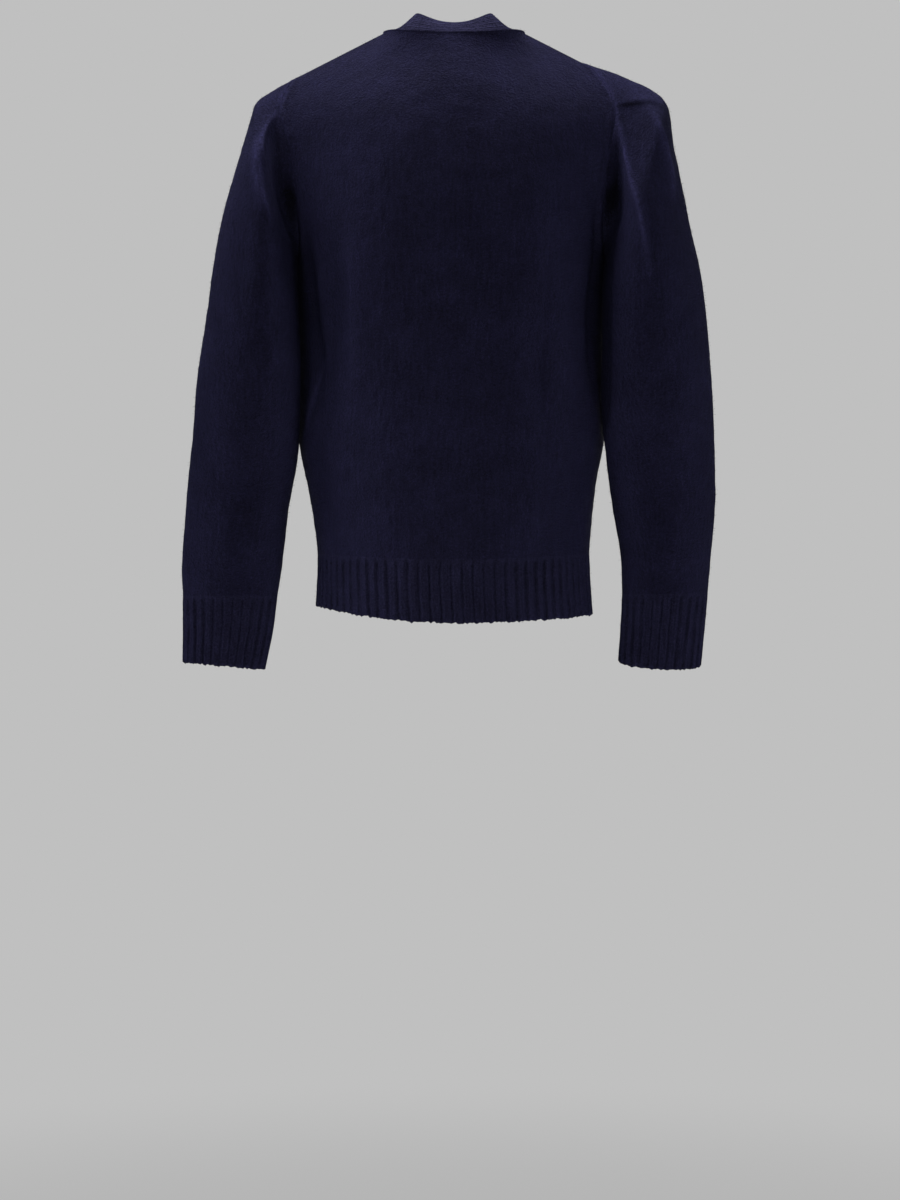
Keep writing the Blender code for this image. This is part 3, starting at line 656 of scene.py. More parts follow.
    def round_armhole(self, angles: Grid, values: Callable[[Face, Grid], Grid]) -> Grid:
        """Reads something all round an armhole.

        Args:
            angles: Radians round it, as for a sleeve's rings.
            values: Gives the values on one face at turns from the shoulder tip.

        Returns:
            A value for each angle.
        """
        turned = np.mod(angles, 2 * math.pi)
        at_back = turned <= math.pi
        turns = (len(ARMHOLE) - 1) * np.where(at_back, turned, 2 * math.pi - turned) / math.pi
        back, front = (values(face, turns) for face in Face)
        return np.where(at_back[:, None], back, front)

    def sleeve(self, side: Side, rows: Grid, angles: Grid) -> Grid:
        """Rings round a sleeve; the first of them keep the armhole's outline.

        Args:
            side: Which sleeve.
            rows: Fractional rows of its table of sections, one for each ring.
            angles: Radians round the ring.

        Returns:
            Rings by angles of points.
        """
        start = self.rings(side, np.array([0.0]), angles)[0]
        seam = self.round_armhole(angles, lambda face, turns: self.armhole(side, face, turns))
        fade = np.cos(0.5 * math.pi * share_above(rows, 0.0, self.cap_rows)) ** 2
        return self.rings(side, rows, angles) + fade[:, None, None] * (seam - start)


SHAPE = WornShape()


def placed(name: str, data: bpy.types.ID) -> bpy.types.Object:
    """Puts a new object in the scene.

    Args:
        name: Its name.
        data: The mesh, light or camera that it holds.

    Returns:
        The object.
    """
    made = bpy.data.objects.new(name, data)
    bpy.context.scene.collection.objects.link(made)
    return made


# ---------------------------------------------------------------------------
# Walls of cloth
# ---------------------------------------------------------------------------


RIM_BULGE = 0.45  # how far a rounded rim stands out, as a share of the wall
CLOTH_CREASE = math.radians(62.0)  # cloth is shaded smooth over any edge less sharp than this


@dataclass
class Cloth:
    """A piece of cloth: outer points, the way in, and where each point lies on the knit."""

    name: str
    outer: Grid  # rows by columns of outer points
    inward: Grid  # the unit vector from each to its inner one
    wall: float
    run: Grid  # metres across the wales and up the courses
    closed: bool = False  # the last column joins the first
    rounded: tuple[str, ...] = ()  # edges with a rounded rim: first, last, left, right
    keep: Grid | None = None  # cells that are cloth, not open
    rib: Grid | None = None  # metres across the ribs
    rib_rise: Grid | None = None  # how fully they stand, from 0 to 1
    crease: Grid | None = None  # painted highlight and shade, from -1 to 1

    def cells(self) -> Grid:
        """Finds the cells that are cloth.

        Returns:
            The four corner numbers of each.
        """
        rows, cols = self.outer.shape[:2]
        wide = cols if self.closed else cols - 1
        i, j = np.meshgrid(np.arange(rows - 1), np.arange(wide), indexing="ij")
        if self.keep is not None:
            i, j = i[self.keep], j[self.keep]
        i, j = i.ravel(), j.ravel()
        k = (j + 1) % cols
        low, high = i * cols, (i + 1) * cols
        return np.stack([low + j, low + k, high + k, high + j], axis=1)

    def rims(self, cells: Grid) -> Grid:
        """Finds the edges where cells have no neighbour.

        Args:
            cells: Corner numbers of the cells.

        Returns:
            The two corner numbers of each such edge, in the cells' own direction.
        """
        edges = np.concatenate([cells[:, [k, (k + 1) % 4]] for k in range(4)])
        count = self.outer.shape[0] * self.outer.shape[1]
        key = edges[:, 0] * count + edges[:, 1]
        back = edges[:, 1] * count + edges[:, 0]
        return edges[~np.isin(key, back)]

    def build(self) -> bpy.types.Object:
        """Makes the closed wall.

        Returns:
            The object, with its knit coordinates and its attributes.
        """
        count = self.outer.shape[0] * self.outer.shape[1]
        outer = self.outer.reshape(-1, 3)
        inner = (self.outer + self.wall * self.inward).reshape(-1, 3)
        cells = self.cells()
        rims = self.rims(cells)
        middle = self.rim_middles(outer, inner, rims)
        points = np.concatenate([outer, inner, middle])
        place = np.full(count, -1)
        starts = rims[:, 0]
        place[starts] = 2 * count + np.arange(len(starts))
        a, b = rims[:, 0], rims[:, 1]
        faces = np.concatenate(
            [
                cells,
                cells[:, ::-1] + count,
                np.stack([b, a, place[a], place[b]], axis=1),
                np.stack([place[b], place[a], a + count, b + count], axis=1),
            ]
        )
        run = self.run.reshape(-1, 2)
        knit = np.concatenate([run, run, run[starts]])
        nap = np.concatenate([np.ones(count), np.zeros(count + len(starts))])
        extra = {"nap": nap}
        # painted highlights and shade, on the outer side only
        if self.crease is not None:
            tone = self.crease.ravel()
            extra["crease"] = np.concatenate([tone, 0 * tone, 0 * tone[starts]])
        if self.rib is not None:
            rib, rise = self.rib.ravel(), self.rib_rise.ravel()
            extra["rib_along"] = np.concatenate([rib, rib, rib[starts]])
            extra["rib_rise"] = np.concatenate([rise, -rise, 0 * rise[starts]])
        return mesh_object(self.name, points, faces, knit, extra)

    def rim_middles(self, outer: Grid, inner: Grid, rims: Grid) -> Grid:
        """Finds the points half way through the wall at each rim.

        Args:
            outer: All outer points.
            inner: All inner points.
            rims: The rims' edges.

        Returns:
            One point for each edge, pushed out where the rim is rounded.
        """
        rows, cols = self.outer.shape[:2]
        starts = rims[:, 0]
        middle = 0.5 * (outer[starts] + inner[starts])
        i, j = starts // cols, starts % cols
        neighbour = {
            "first": (i == 0, (i + 1) * cols + j),
            "last": (i == rows - 1, (i - 1) * cols + j),
            "left": (j == 0, i * cols + j + 1),
            "right": (j == cols - 1, i * cols + j - 1),
        }
        for edge in self.rounded:
            chosen, beside = neighbour[edge]
            beside = np.clip(beside, 0, rows * cols - 1)
            outward = unit(outer[starts] - outer[beside])
            middle[chosen] += RIM_BULGE * self.wall * outward[chosen]
        return middle


def mesh_object(
    name: str, points: Grid, faces: Grid, knit: Grid, extra: dict[str, Grid]
) -> bpy.types.Object:
    """Makes a mesh object from four-cornered faces.

    Args:
        name: Name of the object.
        points: Its vertices.
        faces: Corner numbers, four for each face.
        knit: Metres across and up the knit, for each vertex, kept as the UV map "knit".
        extra: Further numbers for each vertex, kept as attributes.

    Returns:
        The object, shaded smooth, with its faces turned outwards and loose points removed.
    """
    used = np.unique(faces)
    renumber = np.full(len(points), -1)
    renumber[used] = np.arange(len(used))
    faces, points, knit = renumber[faces], points[used], knit[used]
    if volume_of(points, faces) < 0:
        faces = faces[:, ::-1]
    mesh = bpy.data.meshes.new(name)
    mesh.vertices.add(len(points))
    mesh.vertices.foreach_set("co", points.astype(np.float32).ravel())
    mesh.loops.add(faces.size)
    mesh.loops.foreach_set("vertex_index", faces.astype(np.int32).ravel())
    mesh.polygons.add(len(faces))
    mesh.polygons.foreach_set("loop_start", np.arange(0, faces.size, 4, dtype=np.int32))
    layer = mesh.uv_layers.new(name="knit")
    layer.data.foreach_set("uv", knit[faces.ravel()].astype(np.float32).ravel())
    for key, values in extra.items():
        attribute = mesh.attributes.new(key, "FLOAT", "POINT")
        attribute.data.foreach_set("value", values[used].astype(np.float32))
    mesh.update(calc_edges=True)
    mesh.validate()
    mesh.shade_smooth()
    mesh.set_sharp_from_angle(angle=CLOTH_CREASE)
    return placed(name, mesh)


def volume_of(points: Grid, faces: Grid) -> float:
    """Works out the signed volume inside four-cornered faces.

    Args:
        points: The vertices.
        faces: Corner numbers, four for each face.

    Returns:
        Cubic metres, below 0 where the faces are turned inwards.
    """
    a, b, c, d = (points[faces[:, k]] for k in range(4))
    first = np.einsum("ij,ij->i", a, np.cross(b, c)).sum()
    second = np.einsum("ij,ij->i", a, np.cross(c, d)).sum()
    return float(first + second) / 6.0


# ---------------------------------------------------------------------------
# Node trees: sums, ribs, stray wool and linking stitches
# ---------------------------------------------------------------------------


class Out:
    """An output of a node; sums on it add the nodes that work them out."""

    def __init__(self, tree: "Tree", socket: bpy.types.NodeSocket) -> None:
        """Keeps the tree and the output socket."""
        self.tree, self.socket = tree, socket

    def maths(self, operation: str, first: object = None, second: object = 0.0) -> "Out":
        """One sum; it is on this output unless another first number is given."""
        start = self if first is None else first
        return self.tree.out("ShaderNodeMath", {0: start, 1: second}, operation=operation)

    def __add__(self, other: object) -> "Out":
        """This plus other."""
        return self.maths("ADD", self, other)

    def __sub__(self, other: object) -> "Out":
        """This minus other."""
        return self.maths("SUBTRACT", self, other)

    def __rsub__(self, other: float) -> "Out":
        """Other minus this."""
        return self.maths("SUBTRACT", other, self)

    def __mul__(self, other: object) -> "Out":
        """This times other."""
        return self.maths("MULTIPLY", self, other)

    def __truediv__(self, other: object) -> "Out":
        """This divided by other."""
        return self.maths("DIVIDE", self, other)


class Tree:
    """A node tree built node by node."""

    def __init__(self, tree: bpy.types.NodeTree) -> None:
        """Keeps the tree that is built."""
        self.tree = tree

    def add(
        self, kind: str, links: dict[str | int, object] | None = None, **settings: object
    ) -> bpy.types.Node:
        """Adds a node.

        Args:
            kind: The node's type.
            links: For each input, by name or number, an output or a value.
            settings: The node's own settings.

        Returns:
            The new node.
        """
        node = self.tree.nodes.new(kind)
        for key, value in settings.items():
            setattr(node, key, value)
        for key, value in (links or {}).items():
            if isinstance(value, Out):
                self.tree.links.new(value.socket, node.inputs[key])
            else:
                node.inputs[key].default_value = value
        return node

    def out(
        self,
        kind: str,
        links: dict[str | int, object] | None = None,
        which: str | int = 0,
        **settings: object,
    ) -> Out:
        """Adds a node, as add does, and gives one of its outputs: the first, or another."""
        return Out(self, self.add(kind, links, **settings).outputs[which])

    def vector(self, x: object = 0.0, y: object = 0.0, z: object = 0.0) -> Out:
        """A vector of three numbers."""
        return self.out("ShaderNodeCombineXYZ", {0: x, 1: y, 2: z})


class ShapeTree(Tree):
    """A Geometry Nodes tree with named number inputs."""

    def __init__(self, name: str, sizes: dict[str, float]) -> None:
        """Makes the tree and its inputs.

        Args:
            name: Name of the tree.
            sizes: Each number input and its value.
        """
        super().__init__(bpy.data.node_groups.new(name, "GeometryNodeTree"))
        face = self.tree.interface
        face.new_socket("Geometry", in_out="INPUT", socket_type="NodeSocketGeometry")
        self.sizes = sizes
        self.identifiers = {}
        for label, value in sizes.items():
            kind = "NodeSocketInt" if isinstance(value, int) else "NodeSocketFloat"
            socket = face.new_socket(label, in_out="INPUT", socket_type=kind)
            socket.default_value = value
            self.identifiers[label] = socket.identifier
        face.new_socket("Geometry", in_out="OUTPUT", socket_type="NodeSocketGeometry")
        self.start = self.tree.nodes.new("NodeGroupInput")
        self.end = self.tree.nodes.new("NodeGroupOutput")

    def given(self, label: str) -> Out:
        """The named input."""
        return Out(self, self.start.outputs[label])

    def attribute(self, name: str) -> Out:
        """The numbers of a named attribute."""
        kind = "GeometryNodeInputNamedAttribute"
        return self.out(kind, {"Name": name}, "Attribute", data_type="FLOAT")

    def close(self, geometry: Out, finish: bpy.types.Material) -> "ShapeTree":
        """Ends the tree: instances made real, and their finish set.

        Args:
            geometry: What the tree has made.
            finish: Its finish.

        Returns:
            The tree itself.
        """
        real = self.out("GeometryNodeRealizeInstances", {0: geometry})
        dressed = self.add("GeometryNodeSetMaterial", {"Geometry": real, "Material": finish})
        self.tree.links.new(dressed.outputs[0], self.end.inputs[0])
        return self

    def apply(self, made: bpy.types.Object, name: str) -> bpy.types.Object:
        """Runs the tree on an object and keeps the result as a plain mesh.

        Args:
            made: The object whose geometry goes in. It is removed.
            name: Name of the result.

        Returns:
            The new object.
        """
        modifier = made.modifiers.new(name, "NODES")
        modifier.node_group = self.tree
        for label, identifier in self.identifiers.items():
            modifier[identifier] = self.sizes[label]
        evaluated = made.evaluated_get(bpy.context.evaluated_depsgraph_get())
        mesh = bpy.data.meshes.new_from_object(evaluated)
        bpy.data.objects.remove(made)
        mesh.name = name
        return placed(name, mesh)


def rib_tree(
    name: str, finish: bpy.types.Material, pitch: float, relief: float, wander: float = 0.0005
) -> ShapeTree:
    """A tree that raises ribs on a wall of cloth.

    Args:
        name: Name of the tree.
        finish: The ribs' finish.
        pitch: From one rib to the next.
        relief: How far a rib stands above its groove.
        wander: How far a rib strays from its straight line.

    Returns:
        The tree. It reads the attributes rib_along and rib_rise; groove carries painted shade.
    """
    sizes = {"Pitch": pitch, "Relief": relief, "Wander": wander, "Unevenness": 0.28}
    nodes = ShapeTree(name, sizes)
    place = nodes.out("GeometryNodeInputPosition")
    broad = nodes.out("ShaderNodeTexNoise", {"Vector": place, "Scale": 60.0, "Detail": 1.0}) - 0.5
    fine = nodes.out("ShaderNodeTexNoise", {"Vector": place, "Scale": 260.0, "Detail": 2.0}) - 0.5
    along = nodes.attribute("rib_along") + broad * 4.0 * nodes.given("Wander")
    turn = along / nodes.given("Pitch") * (2 * math.pi)
    wave = {"Value": turn.maths("COSINE"), "From Min": -0.97, "From Max": 0.15}
    levels = {"To Min": -0.80, "To Max": 0.20}
    shoulder = nodes.out(
        "ShaderNodeMapRange", {**wave, **levels}, interpolation_type="SMOOTHSTEP"
    )
    wales = (turn * 2.0).maths("COSINE") * -0.07
    height = shoulder + wales + fine * nodes.given("Unevenness")
    strength = broad * 1.6 + 1.0
    rise = nodes.attribute("rib_rise")
    raised = height * (strength * nodes.given("Relief")) * rise
    normal = nodes.out("GeometryNodeInputNormal")
    offset = nodes.out("ShaderNodeVectorMath", {0: normal, "Scale": raised}, operation="SCALE")
    cloth = nodes.given("Geometry")
    moved = nodes.out("GeometryNodeSetPosition", {"Geometry": cloth, "Offset": offset})
    # how deep each point lies in a groove, for the finish's painted shade there
    groove = (levels["To Max"] - shoulder) * (strength * rise)
    kept = nodes.out(
        "GeometryNodeStoreNamedAttribute",
        {"Geometry": moved, "Name": "groove", "Value": groove},
        data_type="FLOAT",
        domain="POINT",
    )
    return nodes.close(kept, finish)


def fuzz_tree(
    name: str, finish: bpy.types.Material, density: float, length: float, seed: int
) -> ShapeTree:
    """A tree that scatters fine bent fibres over the napped side of a cloth.

    Args:
        name: Name of the tree.
        finish: The fibres' finish.
        density: Fibres for each square metre.
        length: Length of a middling fibre.
        seed: Seed of everything random here.

    Returns:
        The tree.
    """
    sizes = {"Density": density, "Length": length, "Thickness": 0.00015, "Seed": seed}
    nodes = ShapeTree(name, sizes)
    seeded = nodes.given("Seed")
    spread = nodes.add(
        "GeometryNodeDistributePointsOnFaces",
        {
            "Mesh": nodes.given("Geometry"),
            "Selection": nodes.attribute("nap").maths("GREATER_THAN", second=0.5),
            "Density": nodes.given("Density"),
            "Seed": seeded,
        },
    )
    long, half = nodes.given("Length"), nodes.given("Thickness") * 0.5
    bend = {
        "Start": (0.0, 0.0, -0.0002),
        "Middle": nodes.vector(x=long * 0.1, z=long * 0.55),
        "End": nodes.vector(x=long * 0.75, z=long * 0.6),
    }
    fibre = nodes.out("GeometryNodeCurveQuadraticBezier", {"Resolution": 2, **bend})
    ends = {"Start": nodes.vector(half * -1.0), "End": nodes.vector(half)}
    flat = nodes.out("GeometryNodeCurvePrimitiveLine", ends)
    ribbon = nodes.out("GeometryNodeCurveToMesh", {"Curve": fibre, "Profile Curve": flat})
    tilts = {"Min": (-0.75, -0.75, -math.pi), "Max": (0.75, 0.75, math.pi), "Seed": seeded}
    lean = nodes.out("FunctionNodeRandomValue", tilts, "Value", data_type="FLOAT_VECTOR")
    turned = nodes.out(
        "FunctionNodeRotateRotation",
        {"Rotation": Out(nodes, spread.outputs["Rotation"]), "Rotate By": lean},
        rotation_space="LOCAL",
    )
    scales = {2: 0.35, 3: 1.35, "Seed": seeded + 7.0}
    fibres = nodes.out(
        "GeometryNodeInstanceOnPoints",
        {
            "Points": Out(nodes, spread.outputs["Points"]),
            "Instance": ribbon,
            "Rotation": turned,
            "Scale": nodes.out("FunctionNodeRandomValue", scales, 1, data_type="FLOAT"),
        },
    )
    return nodes.close(fibres, finish)


def stitch_tree(
    name: str, finish: bpy.types.Material, length: float, thickness: float
) -> ShapeTree:
    """A tree that lays plump linking stitches end to end along a line.

    Args:
        name: Name of the tree.
        finish: The stitches' finish.
        length: Length of a stitch.
        thickness: Its thickness.

    Returns:
        The tree. It takes a mesh of edges.
    """
    nodes = ShapeTree(name, {"Length": length, "Thickness": thickness, "Slant": 0.42})
    long, thick = nodes.given("Length"), nodes.given("Thickness")
    line = nodes.out("GeometryNodeMeshToCurve", {0: nodes.given("Geometry")})
    spaced = nodes.out("GeometryNodeResampleCurve", {"Curve": line, "Length": long}, mode="LENGTH")
    ball = nodes.out("GeometryNodeMeshUVSphere", {"Segments": 6, "Rings": 4, "Radius": 0.5})
    plump = nodes.vector(thick, thick, long * 1.25)
    bead = nodes.out("GeometryNodeTransform", {"Geometry": ball, "Scale": plump})
    tangent = nodes.out("GeometryNodeInputTangent")
    aligned = nodes.out("FunctionNodeAlignRotationToVector", {"Vector": tangent}, axis="Z")
    turned = nodes.out(
        "FunctionNodeRotateRotation",
        {"Rotation": aligned, "Rotate By": nodes.vector(y=nodes.given("Slant"))},
        rotation_space="LOCAL",
    )
    stitches = nodes.out(
        "GeometryNodeInstanceOnPoints", {"Points": spaced, "Instance": bead, "Rotation": turned}
    )
    return nodes.close(stitches, finish)


def line_object(name: str, lines: Sequence[Grid]) -> bpy.types.Object:
    """Makes a mesh of edges.

    Args:
        name: Name of the object.
        lines: Lines of points; an edge joins each point to the next.

    Returns:
        The object.
    """
    points, edges = [], []
    for line in lines:
        first = len(points)
        points += [tuple(p) for p in line]
        edges += [(first + k, first + k + 1) for k in range(len(line) - 1)]
    mesh = bpy.data.meshes.new(name)
    mesh.from_pydata(points, edges, [])
    return placed(name, mesh)


# ---------------------------------------------------------------------------
# Finishes
# ---------------------------------------------------------------------------


class ShaderTree(Tree):
    """A material's node tree round its Principled shader."""

    def __init__(self, name: str) -> None:
        """Makes the material.

        Args:
            name: Name of the material.
        """
        self.material = bpy.data.materials.new(name)
        self.material.use_nodes = True
        super().__init__(self.material.node_tree)
        self.shader = self.tree.nodes["Principled BSDF"]

    def noise(self, scale: float, detail: float = 2.0, stretch: tuple = (1.0, 1.0, 1.0)) -> Out:
        """Noise on the piece's own coordinates.

        Args:
            scale: How fine it is.
            detail: How many finer layers it has.
            stretch: Scale along each axis.

        Returns:
            Its level, from 0 to 1.
        """
        place = self.out("ShaderNodeTexCoord", which="Object")
        mapped = self.out("ShaderNodeMapping", {"Vector": place, "Scale": stretch})
        return self.out("ShaderNodeTexNoise", {"Vector": mapped, "Scale": scale, "Detail": detail})

    def ramp(self, level: Out, *stops: tuple[float, Colour]) -> Out:
        """Reads a colour from a ramp.

        Args:
            level: Where it is read.
            stops: The level and the colour of each stop.

        Returns:
            The colour.
        """
        node = self.add("ShaderNodeValToRGB", {0: level})
        elements = node.color_ramp.elements
        for _ in stops[2:]:
            elements.new(0.5)
        for element, (place, colour) in zip(elements, stops):
            element.position = place
            element.color = (*colour, 1.0)
        return Out(self, node.outputs[0])

    def bump(self, height: Out, strength: float, distance: float) -> None:
        """Roughens the surface by a height, which reaches as far as the distance."""
        sizes = {"Height": height, "Strength": strength, "Distance": distance}
        self.set(Normal=self.out("ShaderNodeBump", sizes))

    def set(self, **values: object) -> None:
        """Sets or joins the shader's sockets, named with underscores for spaces.

        Args:
            values: An output or a plain value for each.
        """
        for key, value in values.items():
            socket = self.shader.inputs[key.replace("_", " ")]
            if isinstance(value, Out):
                self.tree.links.new(value.socket, socket)
            else:
                socket.default_value = value


def mixed(a: Colour, b: Colour, share: float) -> Colour:
    """A colour part of the way from a to b."""
    return tuple(x + (y - x) * share for x, y in zip(a, b))


@dataclass(frozen=True)
class WoolKnit:
    """Lightly brushed wool: the loops of the knit under a felted nap of fine fibres."""

    name: str
    deep: Colour = (0.0040, 0.0038, 0.0094)  # between the fibres
    lit: Colour = (0.0288, 0.0274, 0.0865)  # where they catch the light
    wale: float = 0.0021  # width of a column of loops
    course: float = 0.0016  # height of a row of loops
    loops: float = 0.55  # how strongly they show through the nap
    sheen: float = 0.08
    groove_shade: float = 0.0  # how much painted shade darkens the grooves between ribs
    tones: float = 1.3  # how much painted highlights and shade change the colour
    deepest_painted_shade: float = 0.12  # the least share of the colour that painted shade leaves
    felt: float = 750.0  # how fine the nap's layers are, in changes for each metre
    clumps: float = 400.0
    streaks: float = 330.0
    mottle: float = 140.0
    patches: float = 26.0
    relief: tuple[float, ...] = (1.9, 2.6, 0.8, 0.2)  # of felt, clumps, mottle and streaks
    nap: float = 0.0019  # height of all of it
    tone: tuple[float, ...] = (0.6, 0.4, 0.95, 0.10, 0.25, 0.3)  # what each adds to the colour
    levels: tuple[float, float] = (0.38, 1.00)  # of that sum, where the colour starts and ends

    def loop_height(self, tree: ShaderTree) -> Out:
        """Works out the V-shaped loops from the knit coordinates.

        Args:
            tree: The material's tree.

        Returns:
            Their height, from 0 to 1.
        """
        knit = tree.add("ShaderNodeSeparateXYZ", {0: tree.out("ShaderNodeUVMap", uv_map="knit")})
        across, up = (Out(tree, knit.outputs[k]) for k in (0, 1))
        sway = (tree.noise(90.0) - 0.5) * 0.0012
        leg = (((across + sway) / self.wale).maths("FRACT") * 2.0 - 1.0).maths("ABSOLUTE")
        rounded = (leg * math.pi).maths("SINE")
        course = (up / self.course - leg * 0.8).maths("FRACT")
        return rounded * ((course * math.pi).maths("SINE") * 0.6 + 0.4)

    def material(self) -> bpy.types.Material:
        """Builds the material.

        Returns:
            The material.
        """
        tree = ShaderTree(self.name)
        loop = self.loop_height(tree)
        felt, clumps = tree.noise(self.felt, 3.0), tree.noise(self.clumps, 3.0)
        streaks = tree.noise(self.streaks, 2.0, (1.0, 1.0, 0.14))
        mottle, broad = tree.noise(self.mottle), tree.noise(self.patches)
        height = loop * self.loops
        for layer, weight in zip((felt, clumps, mottle, streaks), self.relief):
            height = height + layer * weight
        tree.bump(height, 0.9, self.nap)
        fine, coarse, both, looped, patched, streaked = self.tone
        tone = (felt * fine + clumps * coarse) * both + loop * looped + broad * patched
        tone = tone + (streaks - 0.5) * streaked
        # Painted shade in the grooves between the ribs.
        if self.groove_shade:
            low = tree.out("ShaderNodeAttribute", which="Fac", attribute_name="groove")
            tone = tone - low * self.groove_shade
        low, high = self.levels
        level = tree.out("ShaderNodeMapRange", {"Value": tone, "From Min": low, "From Max": high})
        middle = mixed(self.deep, self.lit, 0.4)
        colour = tree.ramp(level, (0.0, self.deep), (0.55, middle), (1.0, self.lit))
        # Painted highlights on crests and ridges, painted shade in troughs and hollows.
        crease = tree.out("ShaderNodeAttribute", which="Fac", attribute_name="crease")
        painted_shading_gain = (crease * self.tones + 1.0).maths("MAXIMUM", second=self.deepest_painted_shade)
        tree.set(
            Base_Color=tree.out("ShaderNodeVectorMath", {0: colour, 3: painted_shading_gain}, operation="SCALE"),
            Roughness=0.92,
            Specular_IOR_Level=0.04,
            Sheen_Weight=self.sheen,
            Sheen_Roughness=0.28,
            Sheen_Tint=(0.34, 0.34, 1.0, 1.0),
        )
        return tree.material


@dataclass(frozen=True)
class StrayWool:
    """Single fibres that stand off the cloth, a few of them pale."""

    name: str = "stray_wool"
    colour: Colour = (0.0110, 0.0104, 0.0290)
    greyed: Colour = (0.2, 0.2, 0.25)
    pale: Colour = (0.07, 0.07, 0.10)

    def material(self) -> bpy.types.Material:
        """Builds the material.

        Returns:
            The material.
        """
        tree = ShaderTree(self.name)
        middle = mixed(self.colour, self.greyed, 0.06)
        stops = (0.0, self.colour), (0.74, middle), (0.84, self.pale)
        tree.set(Base_Color=tree.ramp(tree.noise(320.0, 1.0), *stops))
        tree.set(Roughness=0.9, Specular_IOR_Level=0.04)
        return tree.material


@dataclass(frozen=True)
class Horn:
    """Polished dark horn with faint streaks."""

    name: str = "horn"
    dark: Colour = (0.006, 0.005, 0.006)
    warm: Colour = (0.030, 0.019, 0.013)

    def material(self) -> bpy.types.Material:
        """Builds the material.

        Returns:
            The material.
        """
        tree = ShaderTree(self.name)
        streaks = tree.noise(90.0, 4.0, (1.0, 1.0, 0.22))
        stops = (0.35, self.dark), (0.62, mixed(self.dark, self.warm, 0.5)), (0.8, self.warm)
        tree.set(Base_Color=tree.ramp(streaks, *stops))
        fine = tree.noise(1400.0)
        rough = tree.out("ShaderNodeMapRange", {"Value": fine, "To Min": 0.22, "To Max": 0.36})
        tree.bump(streaks, 0.12, 0.0002)
        tree.set(Roughness=rough, Coat_Weight=0.15, Coat_Roughness=0.12)
        return tree.material


@dataclass(frozen=True)
class SewingThread:
    """Twisted navy thread."""

    name: str = "sewing_thread"
    colour: Colour = (0.016, 0.017, 0.045)

    def material(self) -> bpy.types.Material:
        """Builds the material.

        Returns:
            The material.
        """
        tree = ShaderTree(self.name)
        ply = tree.noise(2600.0)
        stops = (0.3, mixed(self.colour, (0, 0, 0), 0.5)), (0.7, self.colour)
        tree.set(Base_Color=tree.ramp(ply, *stops))
        tree.bump(ply, 0.4, 0.0002)
        tree.set(Roughness=0.7, Sheen_Weight=0.3, Sheen_Roughness=0.4)
        return tree.material


@dataclass(frozen=True)
class Paper:
    """The studio's plain matt paper floor, seen as pale as the room round a painted shadow."""

    name: str = "floor_paper"
    colour: Colour = (0.615, 0.615, 0.615)  # lights the garment from below
    painted_shadow: float = 0.455  # painted shadow, as seen under the garment
    tone: float = 0.527  # as seen further away, like the room
    spread: tuple[float, float] = (1.42, 2.10)  # where the painted shadow starts to fade, and is gone

    def material(self) -> bpy.types.Material:
        """Builds the material.

        Returns:
            The material.
        """
        tree = ShaderTree(self.name)
        tree.set(Base_Color=(*self.colour, 1.0), Roughness=1.0, Specular_IOR_Level=0.0)
        # Camera rays see a glow with a painted shadow under the garment; other rays, matt paper.
        point = tree.out("ShaderNodeTexCoord", which="Object")
        away = tree.out("ShaderNodeVectorMath", {0: point}, "Value", operation="LENGTH")
        place = {"Value": away, "From Min": self.spread[0], "From Max": self.spread[1]}
        tones = {"To Min": self.painted_shadow, "To Max": self.tone}
        level = tree.out(
            "ShaderNodeMapRange", {**place, **tones}, interpolation_type="SMOOTHSTEP"
        )
        glow = tree.out("ShaderNodeEmission", {"Color": level})
        seen = tree.out("ShaderNodeLightPath", which="Is Camera Ray")
        matt = Out(tree, tree.shader.outputs[0])
        both = tree.out("ShaderNodeMixShader", {0: seen, 1: matt, 2: glow})
        tree.tree.links.new(both.socket, tree.tree.nodes["Material Output"].inputs[0])
        tree.material.cycles.emission_sampling = "NONE"
        return tree.material


# ---------------------------------------------------------------------------
# The garment's pieces
# ---------------------------------------------------------------------------


def settle(
    made: bpy.types.Object, finish: bpy.types.Material, slot: str, stands_in: bool = True
) -> bpy.types.Object:
    """Gives a piece its one finish and rides it on the body.

    Args:
        made: The piece.
        finish: Its finish.
        slot: Its slot, which is a node of the frame.
        stands_in: True where the piece takes that node's place.

    Returns:
        The piece.
    """
    made.data.materials.clear()
    made.data.materials.append(finish)
    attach(made, BODY)
    if stands_in:
        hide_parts(slot)
    LOG.info("%s: %d faces", made.name, len(made.data.polygons))
    return made


